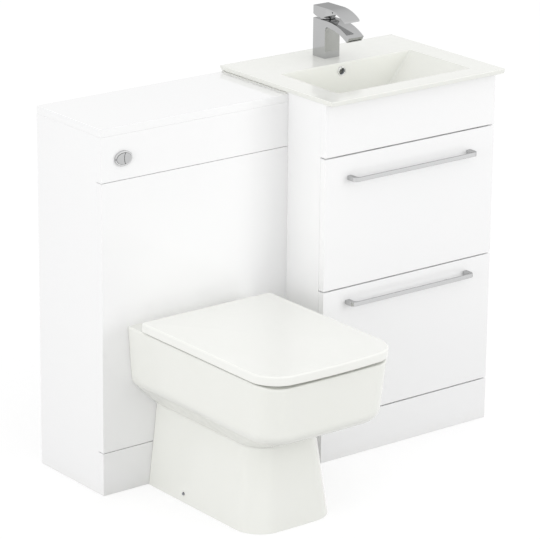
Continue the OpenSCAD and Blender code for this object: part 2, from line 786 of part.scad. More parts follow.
// resize() to no new size keeps the body as one mesh, so that it builds in seconds
module pan() color(CERAMIC) in_frame()
    difference() {
        resize([0, 0, 0]) pan_body();
        for (s = [-1, 1]) {
            z_rod(pan_x + s * hinge_x, hinge_y, bolt_r + 1, rim_z - 2 * deck_t, rim_z + cut);
            x_rod(panel_y - fix_y, fix_z, side_screw_r + 0.5, pan_x + s * foot_hw - 20, pan_x + s * foot_hw + 20);
        }
    }

// Floor brackets inside the foot, with the screws that hold the pan to them and their caps
screw_r = 3.5;
side_screw_r = 2.4;
screw_head_r = 3.2;
bracket_t = 8;
bracket_w = 40;
bracket_l = 36;
// The foot's side leans in, so its faces at the screw's height are worked out from the slope
foot_lean = (foot_hw - neck_hw) / neck_z;
wall_out = foot_hw - foot_lean * fix_z;
wall_in = wall_out - pan_t;

module mirrored_sides() {
    for (s = [0, 1]) translate([pan_x, 0, 0]) mirror([s, 0, 0]) children();
}

module pan_brackets() color(PLASTIC) in_frame() mirrored_sides()
    difference() {
        union() {
            board([wall_in - 2 - bracket_t, panel_y - fix_y - bracket_w / 2, 0],
                  [wall_in - 2, panel_y - fix_y + bracket_w / 2, fix_z + 14]);
            board([wall_in - bracket_l, panel_y - fix_y - bracket_w / 2, 0],
                  [wall_in - 2, panel_y - fix_y + bracket_w / 2, bracket_t / 2]);
        }
        x_rod(panel_y - fix_y, fix_z, side_screw_r - 1, wall_in - bracket_l - cut, wall_in);
        z_rod(wall_in - bracket_l + 12, panel_y - fix_y, screw_r, -cut, bracket_t);
    }

module pan_screws() color(STEEL) in_frame() mirrored_sides() {
    x_rod(panel_y - fix_y, fix_z, side_screw_r - 1.05, wall_in - 2 - bracket_t - 4, wall_out - 2);
    x_rod(panel_y - fix_y, fix_z, side_screw_r, wall_in + 1, wall_out - 2);
}

module pan_caps() color(CHROME) in_frame() mirrored_sides()
    x_rod(panel_y - fix_y, fix_z, screw_head_r, wall_out + foot_lean * screw_head_r + fit_clear / 3, wall_out + 2.5);

// ---- seat, lid and hinges ----

hinge_z = lid_z + hinge_in;
lid_top = lid_z + lid_h;
lid_ceiling = lid_top - lid_top_t;
seat_z = lid_z + 0.5;
lid_corner = 45;
lid_back_corner = 18;
lid_edge = 4;
post_w = 16;
knuckle_w = 12;
knuckle_gap = 0.5;
knuckle_r = 5.2;
post_back = 2.5;
base_plate_t = 2.5;
pin_reach = post_w / 2 + knuckle_gap + knuckle_w;
// Length of the hinge studs through the deck
bolt_l = 40;
lid_in = lid_skirt_t + seat_gap;
seat_hw = lid_hw - lid_in;
seat_back_y = panel_y - lid_back - lid_in;
seat_reach = lid_reach - lid_in;

// Slab with a rounded top edge and a softened lower edge
module soft_slab(z0, z1, hw, back, front, rb, rf, edge, bow) {
    ins = [[z0, edge / 2], [z0 + edge / 2, 0], [z1 - edge, 0],
           for (a = [30, 60, 90]) [z1 - edge + edge * sin(a), edge * (1 - cos(a))]];
    translate([pan_x, 0, 0])
        loft([for (s = ins) outline(hw - s[1], back - s[1], front + s[1], rb - s[1], rf - s[1], bow, 12)],
             [for (s = ins) s[0]]);
}

module plan_cut(z0, z1, hw, back, front, rb, rf, bow) {
    translate([pan_x, 0, z0]) linear_extrude(z1 - z0) polygon(outline(hw, back, front, rb, rf, bow, 12));
}

// Posts stand on the deck; each has a threaded stud down through it
module hinge_posts() color(CHROME) in_frame()
    for (s = [-1, 1]) translate([pan_x + s * hinge_x, hinge_y, 0])
        difference() {
            union() {
                translate([-post_w / 2, -knuckle_r, rim_z]) cube([post_w, knuckle_r + post_back, hinge_z - rim_z]);
                translate([-post_w / 2, 0, hinge_z]) rotate([0, 90, 0]) cylinder(r = knuckle_r, h = post_w);
                translate([0, 0, rim_z]) cylinder(r = post_w / 2 + 4, h = base_plate_t);
                translate([0, 0, rim_z - bolt_l]) cylinder(r = bolt_r, h = bolt_l + eps);
            }
            translate([-post_w, 0, hinge_z]) rotate([0, 90, 0]) cylinder(r = pin_r + run_clear / 2, h = 2 * post_w);
        }

module hinge_pins() color(STEEL) in_frame()
    for (s = [-1, 1]) x_rod(hinge_y, hinge_z, pin_r, pan_x + s * hinge_x - pin_reach, pan_x + s * hinge_x + pin_reach);

module hinge_nuts() color(PLASTIC) in_frame()
    for (s = [-1, 1]) z_tube(pan_x + s * hinge_x, hinge_y, 11, bolt_r + run_clear, rim_z - deck_t - 10, rim_z - deck_t - fit_clear);

// Lid knuckles sit outside the posts, seat knuckles inside them
function knuckle_x0(s, outer) = outer > 0
    ? (s > 0 ? post_w / 2 + knuckle_gap : -pin_reach)
    : (s > 0 ? -pin_reach : post_w / 2 + knuckle_gap);

module seat() color(WHITE) in_frame()
    difference() {
        union() {
            difference() {
                soft_slab(seat_z, seat_z + seat_t, seat_hw, seat_back_y, panel_y - seat_reach,
                          lid_back_corner - lid_in, lid_corner - lid_in, 3, front_bow);
                plan_cut(seat_z - cut, seat_z + seat_t + cut, rim_hw - seat_ring_w, panel_y - bowl_lip_back - 12,
                         panel_y - bowl_lip_front + 8, 80, 90, 0);
                for (s = [-1, 1]) translate([pan_x + s * hinge_x, 0, 0])
                    board([-pin_reach - cut, hinge_y - knuckle_r - 2, seat_z - cut],
                          [pin_reach + cut, seat_back_y + cut, seat_z + seat_t + cut]);
            }
            for (s = [-1, 1]) translate([pan_x + s * hinge_x + knuckle_x0(s, -1), hinge_y, hinge_z]) {
                rotate([0, 90, 0]) cylinder(r = knuckle_r, h = knuckle_w);
                translate([0, -knuckle_r - 4, -6]) cube([knuckle_w, knuckle_r + 4, 8]);
            }
        }
        for (s = [-1, 1]) x_rod(hinge_y, hinge_z, pin_r + run_clear,
            pan_x + s * hinge_x + knuckle_x0(s, -1) - cut, pan_x + s * hinge_x + knuckle_x0(s, -1) + knuckle_w + cut);
    }

module seat_buffers() color(RUBBER) in_frame()
    for (sx = [-1, 1], y = [lid_back + buffer_end, lid_reach - buffer_end])
        z_rod(pan_x + sx * (rim_hw - buffer_in), panel_y - y, buffer_r, rim_z, seat_z);
// Places and radius of the seat's buffers
buffer_end = 90;
buffer_in = 26;
buffer_r = 7;

module lid() color(CERAMIC) in_frame()
    difference() {
        union() {
            difference() {
                soft_slab(lid_z, lid_top, lid_hw, panel_y - lid_back, panel_y - lid_reach,
                          lid_back_corner, lid_corner, lid_edge, front_bow);
                plan_cut(lid_z - cut, lid_ceiling, lid_hw - lid_skirt_t, panel_y - lid_back - lid_skirt_t,
                         panel_y - lid_reach + lid_skirt_t, lid_back_corner - lid_skirt_t,
                         lid_corner - lid_skirt_t, front_bow);
                for (s = [-1, 1]) translate([pan_x + s * hinge_x, 0, 0])
                    board([-pin_reach, panel_y - lid_back - lid_skirt_t - cut, lid_z - cut],
                          [pin_reach, panel_y - lid_back + cut, lid_ceiling]);
            }
            for (s = [-1, 1]) translate([pan_x + s * hinge_x + knuckle_x0(s, 1), hinge_y, hinge_z]) {
                rotate([0, 90, 0]) cylinder(r = knuckle_r, h = knuckle_w);
                translate([0, -knuckle_r, 0]) cube([knuckle_w, 2 * knuckle_r, lid_ceiling - hinge_z + eps]);
            }
        }
        for (s = [-1, 1]) x_rod(hinge_y, hinge_z, pin_r + run_clear,
            pan_x + s * hinge_x + knuckle_x0(s, 1) - cut, pan_x + s * hinge_x + knuckle_x0(s, 1) + knuckle_w + cut);
    }

module lid_buffers() color(RUBBER) in_frame()
    for (s = [-1, 1]) z_rod(pan_x + s * (rim_hw - buffer_in), panel_y - lid_reach + 60, buffer_r - 1, seat_z + seat_t + fit_clear, lid_ceiling);

// ---- basin unit carcass ----

van_in_x0 = van_x + board_t;
van_in_x1 = van_x + van_w - board_t;

module vanity_side_left() color(WHITE) in_frame()
    board([van_x, -van_carcass_d, 0], [van_in_x0, 0, van_h]);

module vanity_side_right() color(WHITE) in_frame()
    board([van_in_x1, -van_carcass_d, 0], [van_x + van_w, 0, van_h]);

floor_top = plinth_line - front_gap / 2;

module vanity_floor() color(CARCASS) in_frame()
    board([van_in_x0, -van_carcass_d, floor_top - board_t], [van_in_x1, -board_t, floor_top]);

module vanity_back_rails() color(CARCASS) in_frame()
    back_rails(van_x, van_w, floor_top - board_t, van_h);

// Height of the upper front rail, low enough to pass under the bowl
slim_rail_h = 20;

module vanity_front_rails() color(CARCASS) in_frame() {
    board([van_in_x0, -van_carcass_d, top_line + front_gap / 2],
          [van_in_x1, -van_carcass_d + board_t, top_line + front_gap / 2 + slim_rail_h]);
    board([van_in_x0, -van_carcass_d, 0], [van_in_x1, -van_carcass_d + board_t, floor_top - board_t]);
}

module vanity_fascia() color(WHITE) in_frame()
    board([van_x, -van_d, top_line + front_gap / 2], [van_x + van_w, -van_carcass_d, van_h]);

module vanity_plinth() color(WHITE) in_frame()
    board([van_x, -van_d, 0], [van_x + van_w, -van_carcass_d, floor_top]);

// ---- drawers ----

drawer_x0 = van_in_x0 + runner_t;
drawer_x1 = van_in_x1 - runner_t;
drawer_back_y = -van_carcass_d - front_buffer;
// Height of a box over its front's lower edge
box_up = 30;
lower_z = front_low;
upper_z = drawer_line + front_gap / 2;
// Distance of the runner's centre line over the box's lower edge
runner_up = 60;
base_up = 10;
groove = 5;
groove_clear = 0.2;
van_mid = van_x + van_w / 2;
trap_x = basin_mid;
trap_y = -(bowl_back + bowl_front) / 2;

module drawer_front(z0, z1) {
    board([van_x, -van_d, z0], [van_x + van_w, drawer_back_y, z1]);
}

module box_sides(z) {
    difference() {
        for (x = [drawer_x0, drawer_x1 - box_t])
            board([x, drawer_back_y, z], [x + box_t, drawer_back_y + box_l, z + box_h]);
        board([drawer_x0 + box_t - groove, drawer_back_y - cut, z + base_up - groove_clear],
              [drawer_x1 - box_t + groove, drawer_back_y + box_l + cut, z + base_up + base_t + groove_clear]);
    }
}

module box_base(z) {
    board([drawer_x0 + box_t - groove + groove_clear, drawer_back_y, z + base_up],
          [drawer_x1 - box_t + groove - groove_clear, drawer_back_y + box_l, z + base_up + base_t]);
}

// How far the cut-out reaches in front of the trap's centre
cut_front = 55;

module trap_cut(grow, z0, z1) {
    board([trap_x - cut_w / 2 - grow, trap_y - cut_front - grow, z0],
          [trap_x + cut_w / 2 + grow, drawer_back_y + box_l + cut, z1]);
}

module upper_drawer_front() color(WHITE) in_frame() drawer_front(upper_z, front_high);
module lower_drawer_front() color(WHITE) in_frame() drawer_front(lower_z, drawer_line - front_gap / 2);

module upper_drawer_box() color(CARCASS) in_frame() {
    z = upper_z + box_up;
    z_in = z + base_up + base_t + groove_clear;
    difference() {
        union() {
            box_sides(z);
            board([drawer_x0 + box_t - eps, drawer_back_y + box_l - box_t, z_in],
                  [drawer_x1 - box_t + eps, drawer_back_y + box_l, z + box_h]);
            difference() {
                trap_cut(box_t, z_in, z + box_h);
                board([0, drawer_back_y + box_l, 0], [2 * van_x, cut * 9, 2 * van_h]);
            }
        }
        trap_cut(0, z - cut, z + box_h + cut);
    }
}

module upper_drawer_floor() color(CARCASS) in_frame()
    difference() {
        box_base(upper_z + box_up);
        trap_cut(0, upper_z, upper_z + 2 * box_up);
    }

module lower_drawer_box() color(CARCASS) in_frame() {
    z = lower_z + box_up;
    box_sides(z);
    board([drawer_x0 + box_t - eps, drawer_back_y + box_l - box_t, z + base_up + base_t + groove_clear],
          [drawer_x1 - box_t + eps, drawer_back_y + box_l, z + box_h]);
}

module lower_drawer_floor() color(CARCASS) in_frame() box_base(lower_z + box_up);

// Runner members as channels along Y; u runs from the cabinet side to the drawer, w is the half height
runner_y0 = -van_carcass_d + 2;
module channel(u0, u1, w, open_up) {
    // open_up: the channel's mouth faces the drawer; otherwise it faces the cabinet side
    difference() {
        translate([u0, -w]) square([u1 - u0, 2 * w]);
        translate([open_up ? u0 + runner_m : u0 - cut, -w + runner_m])
            square([u1 - u0 - runner_m + cut, 2 * w - 2 * runner_m]);
    }
}
w1 = runner_h / 2;
w2 = w1 - runner_m - runner_gap;
w3 = w2 - runner_m - runner_gap;
u_mid = runner_m + runner_gap;
u_low = u_mid + runner_m + runner_gap;
u_end = runner_t - runner_m - runner_gap;

module member(z, u0, u1, w, open_up, left) {
    x = left ? van_in_x0 : van_in_x1;
    translate([x, runner_y0 + runner_l, z]) mirror([left ? 0 : 1, 0, 0])
        rotate([90, 0, 0]) linear_extrude(runner_l) channel(u0, u1, w, open_up);
}
module both_members(z, u0, u1, w, open_up) {
    for (left = [true, false]) member(z, u0, u1, w, open_up, left);
}
function runner_z(z) = z + box_up + runner_up;

module runner_rails() color(STEEL) in_frame()
    for (z = [lower_z, upper_z]) both_members(runner_z(z), 0, u_end, w1, true);
module upper_runner_members() color(STEEL) in_frame() both_members(runner_z(upper_z), u_mid, u_end, w2, true);
module lower_runner_members() color(STEEL) in_frame() both_members(runner_z(lower_z), u_mid, u_end, w2, true);
module upper_drawer_slides() color(STEEL) in_frame() both_members(runner_z(upper_z), u_low, runner_t, w3, false);
module lower_drawer_slides() color(STEEL) in_frame() both_members(runner_z(lower_z), u_low, runner_t, w3, false);

// Strip handle bent at both ends, its feet on the drawer front
module bent_strip(l, out, r) {
    translate([-l / 2 + r, -out]) square([l - 2 * r, out]);
    translate([-l / 2, -out + r]) square([l, out - r]);
    for (s = [-1, 1]) translate([s * (l / 2 - r), -out + r]) circle(r = r);
}
module handle(z) {
    translate([basin_mid - handle_shift, -van_d, z - handle_h / 2]) linear_extrude(handle_h)
        intersection() {
            translate([-handle_l, -handle_out]) square([2 * handle_l, handle_out]);
            difference() {
                bent_strip(handle_l, handle_out, handle_r);
                bent_strip(handle_l - 2 * handle_t, handle_out - handle_t, handle_r - handle_t);
            }
        }
}
// The handles sit a little left of the middle
handle_shift = 5;

module upper_handle() color(CHROME) in_frame() handle(front_high - handle1_drop);
module lower_handle() color(CHROME) in_frame() handle(drawer_line - front_gap / 2 - handle2_drop);

// ---- basin ----

basin_top = van_h + slab_t;
slab_corner = 4;
bowl_floor = basin_top - bowl_depth;
// The ramps at both sides fall one for one; the back and front walls are steep
wall_slope = 0.12;
bowl_corner_top = 5;
bowl_corner_low = 14;
bowl_blend = 14;
bowl_mid_y = -(bowl_back + bowl_front) / 2;

function bowl_s(z, g) = let (d = basin_top - z)
    [z, bowl_hw - d + g * 1.2, bowl_back + d * wall_slope - g, bowl_front - d * wall_slope + g, bowl_corner_top + g];
bowl_top_s = bowl_s(basin_top + cut, 0);
bowl_low_s = bowl_s(bowl_floor, 0);
bowl_in_s = bowl_low_s + [0, -bowl_blend * 2, bowl_blend * 2, -bowl_blend * 2, bowl_corner_low];
bowl_cavity = concat([bowl_in_s], corner(bowl_in_s, bowl_low_s, bowl_top_s, bowl_blend, 4), [bowl_top_s]);
shell_low_s = bowl_s(bowl_floor, bowl_t) - [bowl_t, 0, 0, 0, 0];
shell_in_s = shell_low_s + [0, -bowl_blend * 2, bowl_blend * 2, -bowl_blend * 2, bowl_corner_low];
shell_top_s = bowl_s(van_h + slab_t / 2, bowl_t);
bowl_shell = concat([shell_in_s], corner(shell_in_s, shell_low_s, shell_top_s, bowl_blend, 4), [shell_top_s]);

module rect_loft(stations) {
    translate([basin_mid, 0, 0])
        loft([for (s = stations) outline(s[1], -s[2], -s[3], s[4], s[4])], [for (s = stations) s[0]]);
}

module rounded_board(x0, x1, y0, y1, z0, z1, r) {
    board([x0 + r, y0, z0], [x1 - r, y1, z1]);
    board([x0, y0 + r, z0], [x1, y1, z1]);
    for (x = [x0 + r, x1 - r]) z_rod(x, y0 + r, r, z0, z1);
}

overflow_z = basin_top - overflow_drop;
overflow_wall_y = -bowl_back - overflow_drop * wall_slope;
// The overflow sits left of the bowl's middle
overflow_shift = 16;
overflow_x = basin_mid - overflow_shift;
overflow_hole_r = 8;
// The flat ring stands clear of the sloping wall at its lower edge
ring_off = overflow_r * wall_slope + 0.16;
chan_t = 9;
chan_w = 26;
waste_z = bowl_floor;
waste_y = bowl_mid_y;

module basin() color(CERAMIC) in_frame()
    difference() {
        union() {
            rounded_board(basin_x0, basin_x1, basin_y0, 0, van_h, basin_top, slab_corner);
            rect_loft(bowl_shell);
            board([overflow_x - chan_w / 2, overflow_wall_y, bowl_floor + 10],
                  [overflow_x + chan_w / 2, -bowl_back + bowl_t + chan_t, van_h + eps]);
        }
        rect_loft(bowl_cavity);
        z_rod(basin_mid, tap_y, tap_hole_r, van_h - cut, basin_top + cut);
        z_rod(basin_mid, waste_y, waste_hole_r, bowl_floor - 4 * bowl_t, bowl_floor + cut);
        y_rod(overflow_x, overflow_z, overflow_hole_r, overflow_wall_y - 8, -bowl_back + bowl_t);
        board([overflow_x - overflow_hole_r, -bowl_back + bowl_t - 2, bowl_floor + 16],
              [overflow_x + overflow_hole_r, -bowl_back + bowl_t + chan_t - 4, overflow_z]);
    }

module overflow_ring() color(CHROME) in_frame()
    difference() {
        union() {
            y_rod(overflow_x, overflow_z, overflow_r, overflow_wall_y - ring_off - 2, overflow_wall_y - ring_off);
            y_rod(overflow_x, overflow_z, overflow_hole_r - fit_clear, overflow_wall_y - ring_off - 1, overflow_wall_y + 6);
        }
        y_rod(overflow_x, overflow_z, overflow_hole_r - 2, overflow_wall_y - 5, overflow_wall_y + 8);
    }

// Waste with its flange on the bowl's floor, threaded body and backnut
waste_flange_r = 32;
waste_flange_t = 2;
waste_r = 21;
waste_bore_r = 18;
waste_l = 60;
waste_nut_r = 32;
waste_nut_t = 10;
plug_r = 30;
plug_t = 4;
plug_gap = 0.4;
plug_stem_r = 5;
web_t = 3;
waste_low = bowl_floor - waste_l;

module waste_body() color(CHROME) in_frame() {
    difference() {
        union() {
            z_rod(basin_mid, waste_y, waste_flange_r, bowl_floor + fit_clear / 3, bowl_floor + waste_flange_t);
            z_rod(basin_mid, waste_y, waste_r, waste_low, bowl_floor + waste_flange_t);
            z_rod(basin_mid, waste_y, waste_nut_r, bowl_floor - bowl_t - waste_nut_t - fit_clear, bowl_floor - bowl_t - fit_clear);
        }
        z_rod(basin_mid, waste_y, waste_bore_r, waste_low - cut, bowl_floor + waste_flange_t + cut);
    }
    difference() {
        translate([basin_mid, waste_y, bowl_floor - 24]) union() {
            cylinder(r = plug_stem_r + 4, h = 12);
            for (a = [0, 90]) rotate(a) translate([-waste_bore_r - 0.5, -web_t / 2, 0]) cube([2 * waste_bore_r + 1, web_t, 6]);
        }
        z_rod(basin_mid, waste_y, plug_stem_r + run_clear, bowl_floor - 30, bowl_floor);
    }
}

// The plug rests closed; it rises by its travel to open
module waste_plug() color(CHROME) in_frame() {
    top = bowl_floor + waste_flange_t + plug_gap;
    z_rod(basin_mid, waste_y, plug_r, top, top + plug_t);
    z_rod(basin_mid, waste_y, plug_stem_r, bowl_floor - 30, top + eps);
}

// Bottle trap: nut and inlet on the waste, body with a screwed cup, outlet pipe to the wall
trap_r = 28;
trap_top = waste_low - 14;
trap_h = 100;
trap_t = 2.5;
trap_pipe_r = 16;
trap_pipe_z = trap_top - 34;
dip_r = 16;

module bottle_trap() color(PLASTIC) in_frame() {
    difference() {
        union() {
            z_rod(trap_x, trap_y, trap_r, trap_top - trap_h, trap_top);
            z_rod(trap_x, trap_y, trap_r + 4, trap_top - trap_h, trap_top - trap_h + 26);
            z_rod(trap_x, trap_y, waste_r + 6, trap_top - eps, waste_low + 12);
            y_rod(trap_x, trap_pipe_z, trap_pipe_r, trap_y, 0);
            y_rod(trap_x, trap_pipe_z, trap_pipe_r + 6, trap_y + trap_r - 4, trap_y + trap_r + 16);
        }
        z_rod(trap_x, trap_y, trap_r - trap_t, trap_top - trap_h + trap_t, trap_top - trap_t);
        z_rod(trap_x, trap_y, waste_r + fit_clear, waste_low - 1, waste_low + 12 + cut);
        z_rod(trap_x, trap_y, dip_r - trap_t, trap_top - trap_t - cut, waste_low);
        y_rod(trap_x, trap_pipe_z, trap_pipe_r - trap_t, trap_y, cut);
    }
    z_tube(trap_x, trap_y, dip_r, dip_r - trap_t, trap_top - trap_h + 30, trap_top - trap_t + eps);
}

// ---- tap ----

// The tap stands a little left of the basin's middle
tap_shift = -2;
tap_cx = basin_mid + tap_shift;
tap_y = -tap_back - tap_d / 2;
tap_top = basin_top + tap_h;
tap_front = -tap_back - tap_d;
// Centre of the spout's upper curve: it starts level, behind the tip by the chord of its fall
spout_fall = 30.2;
spout_run = sqrt(spout_r * spout_r - pow(spout_r - spout_fall, 2));
tip_y = -tap_back - spout_reach;
tip_z = tap_top - spout_fall;
spout_cy = tip_y + spout_run;
spout_cz = tap_top - spout_r;
tip_t = 8.1;
tip_a = 35;
arch_r = 20;
under_a = 26;
arch_cy = tap_front - arch_r;
// The underside runs straight from the tip up to the arch
low_tip = [tip_y + tip_t * cos(tip_a), tip_z - tip_t * sin(tip_a)];
arch_n = [-sin(under_a), cos(under_a)];
arch_line_z = low_tip.y + (arch_cy - low_tip.x) * tan(under_a);
arch_cz = arch_line_z - arch_r / cos(under_a);
arch_t = [arch_cy, arch_cz] + arch_r * arch_n;
far = 30;

// Side profile, X of the profile along Y of the run
module tap_profile() {
    difference() {
        union() {
            translate([tap_front, basin_top]) square([tap_d, tap_h]);
            intersection() {
                union() {
                    translate([spout_cy, spout_cz]) circle(r = spout_r, $fn = 128);
                    translate([spout_cy, tap_top - 40]) square([-tap_back - spout_cy, 40]);
                }
                translate([tip_y - 1, basin_top + 30]) square([-tap_back - tip_y + 1, tap_h]);
            }
        }
        translate([arch_cy, arch_cz]) circle(r = arch_r);
        polygon([[tap_front, arch_cz], [tap_front, basin_top - cut], [tip_y - far, basin_top - cut],
                 [tip_y - far, low_tip.y - (low_tip.x - tip_y + far) * tan(under_a)], arch_t, [arch_cy, arch_cz]]);
        polygon([[tip_y - far * cos(tip_a), tip_z + far * sin(tip_a)],
                 [tip_y + far * cos(tip_a), tip_z - far * sin(tip_a)],
                 [tip_y - far, tip_z - 2 * far], [tip_y - 2 * far, tip_z]]);
    }
}

// Extrudes a Y-Z profile along X between x0 and x1
module side_extrude(x0, x1) {
    translate([x0, 0, 0]) rotate([90, 0, 90]) linear_extrude(x1 - x0) children();
}

cart_r = 15;
cart_depth = 24;
slot_w = 39;
slot_t = 3;
stud_r = 4;
stud_dy = 9;
stud_nut_r = 8;
feed_dx = 7.5;
feed_dy = -5;
feed_r = 5;
feed_l = 14;
stud_l = 45;
stud_in = 12;
stud_fit = 0.1;
shoe_r = 23;
shoe_front = 2;
shoe_t = 3;

module tap_body() color(CHROME) in_frame() {
    difference() {
        side_extrude(tap_cx - tap_w / 2, tap_cx + tap_w / 2) tap_profile();
        z_rod(tap_cx, tap_y, cart_r, tap_top - cart_depth, tap_top + cut);
        translate([tap_cx, (tip_y + low_tip.x) / 2, (tip_z + low_tip.y) / 2]) rotate([-tip_a, 0, 0])
            translate([-slot_w / 2, -slot_t / 2, -cut]) cube([slot_w, slot_t, 16]);
        for (s = [-1, 1]) z_rod(basin_mid + s * feed_dx, tap_y + feed_dy, feed_r, basin_top - cut, basin_top + feed_l);
        z_rod(basin_mid, tap_y + stud_dy, stud_r + stud_fit, basin_top - cut, basin_top + stud_in + stud_fit);
    }
    // fixing stud, screwed into the body, with its half-moon washer and nut under the slab
    z_rod(basin_mid, tap_y + stud_dy, stud_r, basin_top - stud_l, basin_top + stud_in);
    difference() {
        z_rod(basin_mid, tap_y, shoe_r, van_h - shoe_t - fit_clear, van_h - fit_clear);
        board([basin_mid - shoe_r - cut, tap_y - shoe_r - cut, van_h - 2 * shoe_t],
              [basin_mid + shoe_r + cut, tap_y + shoe_front, van_h]);
    }
    z_rod(basin_mid, tap_y + stud_dy, stud_nut_r, van_h - shoe_t - stud_nut_r - fit_clear, van_h - shoe_t - fit_clear + eps);
}
lever_low = 13;
lever_z = tap_top + lever_low;
lever_top = tap_top + 28.6;
// Round cup under the lever, over the neck that carries it
cup_r = 19;
cup_in_r = 16;
cup_gap = 1.2;
cup_h = 5.5;
// The cup's back leans away from the body, so that the lever can tilt
cup_lean = 20;
lift_z = tap_top + 14.5;
lift_r = 3;
neck_r = 10;
neck_top = lift_z + 4;
pin_end = cup_in_r + 2;

module tap_cartridge() color(CHROME) in_frame() {
    z_rod(tap_cx, tap_y, cart_r - run_clear, tap_top - cart_depth + fit_clear, tap_top + cup_gap / 2);
    z_rod(tap_cx, tap_y, neck_r, tap_top, neck_top);
    x_rod(tap_y, lift_z, lift_r, tap_cx - pin_end, tap_cx + pin_end);
}

// Lever: flat block over the neck that runs out in a thin curved blade
lever_front = -tap_back - lever_reach;
lever_fall = 21.5;
lever_run = sqrt(lever_r * lever_r - pow(lever_r - lever_fall, 2));
lever_cy = lever_front + lever_run;
lever_cz = lever_top - lever_r;

module lever_profile() {
    difference() {
        intersection() {
            translate([lever_front, lever_z - 30]) square([lever_reach, lever_top - lever_z + 30]);
            union() {
                translate([lever_cy, lever_cz]) circle(r = lever_r, $fn = 160);
                translate([lever_cy, lever_z - 30]) square([-tap_back - lever_cy, lever_top - lever_z + 30]);
            }
        }
        translate([lever_front - cut, lever_z - 31]) square([lever_reach + 2 * cut, 31]);
        intersection() {
            translate([lever_cy, lever_cz]) circle(r = lever_r - blade_t, $fn = 160);
            translate([lever_front - cut, lever_z - 40]) square([-lever_front - tap_back - tap_d + cut, 80]);
        }
    }
    intersection() {
        difference() {
            translate([lever_cy, lever_cz]) circle(r = lever_r, $fn = 160);
            translate([lever_cy, lever_cz]) circle(r = lever_r - blade_t, $fn = 160);
        }
        translate([lever_front, lever_z - 40]) square([tap_front - lever_front, 80]);
    }
}

module tap_lever() color(CHROME) in_frame()
    difference() {
        union() {
            side_extrude(tap_cx - tap_w / 2, tap_cx + tap_w / 2) lever_profile();
            z_rod(tap_cx, tap_y, cup_r, tap_top + cup_gap, tap_top + cup_gap + cup_h + eps);
            hull() {
                board([tap_cx - tap_w / 2, tap_front, lever_z], [tap_cx + tap_w / 2, -tap_back, lever_z + eps]);
                translate([tap_cx, tap_y, tap_top + cup_gap + cup_h]) cylinder(r = cup_r, h = eps, $fn = 48);
            }
        }
        z_rod(tap_cx, tap_y, cup_in_r, tap_top, neck_top + 5);
        x_rod(tap_y, lift_z, lift_r + run_clear, tap_cx - pin_end - 1, tap_cx + pin_end + 1);
        y_rod(tap_cx, lever_z + 2.5, 2.5, tap_front - cut, tap_front + 6);
        translate([tap_cx, tap_y + 2, tap_top + cup_gap]) rotate([cup_lean, 0, 0])
            translate([-tap_w, 0, -2 * cup_r]) cube([2 * tap_w, 2 * cup_r, 2 * cup_r]);
    }

wc_side_left();
wc_side_right();
wc_worktop();
wc_upper_strip();
wc_front_panel();
wc_plinth();
wc_rails();
button_housing();
button_bezel();
full_flush_button();
half_flush_button();
cistern_tank();
cistern_lid();
fill_valve();
fill_valve_float();
flush_valve_body();
full_flush_sleeve();
half_flush_float();
flush_pipe();
flush_cone();
soil_connector();
pan();
pan_brackets();
pan_screws();
pan_caps();
hinge_posts();
hinge_pins();
hinge_nuts();
seat();
seat_buffers();
lid();
lid_buffers();
vanity_side_left();
vanity_side_right();
vanity_floor();
vanity_back_rails();
vanity_front_rails();
vanity_fascia();
vanity_plinth();
runner_rails();
upper_runner_members();
lower_runner_members();
upper_drawer_front();
upper_drawer_box();
upper_drawer_floor();
upper_drawer_slides();
upper_handle();
lower_drawer_front();
lower_drawer_box();
lower_drawer_floor();
lower_drawer_slides();
lower_handle();
basin();
overflow_ring();
waste_body();
waste_plug();
bottle_trap();
tap_body();
tap_cartridge();
tap_lever();
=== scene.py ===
import json
import math

import bmesh
import bpy
from mathutils import Matrix, Vector


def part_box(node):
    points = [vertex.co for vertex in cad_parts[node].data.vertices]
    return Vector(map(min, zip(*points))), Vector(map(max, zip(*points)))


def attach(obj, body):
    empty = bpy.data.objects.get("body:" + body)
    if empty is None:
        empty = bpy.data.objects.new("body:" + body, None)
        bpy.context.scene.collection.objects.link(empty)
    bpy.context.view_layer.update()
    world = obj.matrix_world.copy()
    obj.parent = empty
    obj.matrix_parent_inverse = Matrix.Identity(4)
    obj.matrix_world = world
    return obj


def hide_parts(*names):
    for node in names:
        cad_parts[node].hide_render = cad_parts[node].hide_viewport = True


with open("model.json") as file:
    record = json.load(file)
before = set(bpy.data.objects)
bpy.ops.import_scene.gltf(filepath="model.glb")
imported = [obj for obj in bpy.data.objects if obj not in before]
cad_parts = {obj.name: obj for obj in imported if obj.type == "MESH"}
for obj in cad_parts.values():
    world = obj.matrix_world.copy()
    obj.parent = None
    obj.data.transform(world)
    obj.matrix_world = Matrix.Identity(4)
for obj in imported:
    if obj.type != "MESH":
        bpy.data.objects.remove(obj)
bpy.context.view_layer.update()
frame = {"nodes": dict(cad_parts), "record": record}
nodes = frame["nodes"]

# Sizes below are in millimetres in the run's own axes: X from the toilet unit's left side, Y from the wall
# (negative towards the room), Z from the floor. place() turns them into the frame's metres.
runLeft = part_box("wc_side_left")[0].x
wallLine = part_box("wc_side_left")[1].y


def place(x, y, z):
    return Vector((runLeft + x / 1000, wallLine + y / 1000, z / 1000))


def addObject(name, data):
    made = bpy.data.objects.new(name, data)
    bpy.context.scene.collection.objects.link(made)
    return made


def feed(tree, socket, value):
    # an output is linked to the socket, anything else becomes its value
    if isinstance(value, bpy.types.NodeSocket):
        tree.links.new(value, socket)
    else:
        socket.default_value = value


def shaderNode(tree, kind, **values):
    node = tree.nodes.new("ShaderNode" + kind)
    for label, value in values.items():
        feed(tree, node.inputs[label], value)
    return node


# Camera and light

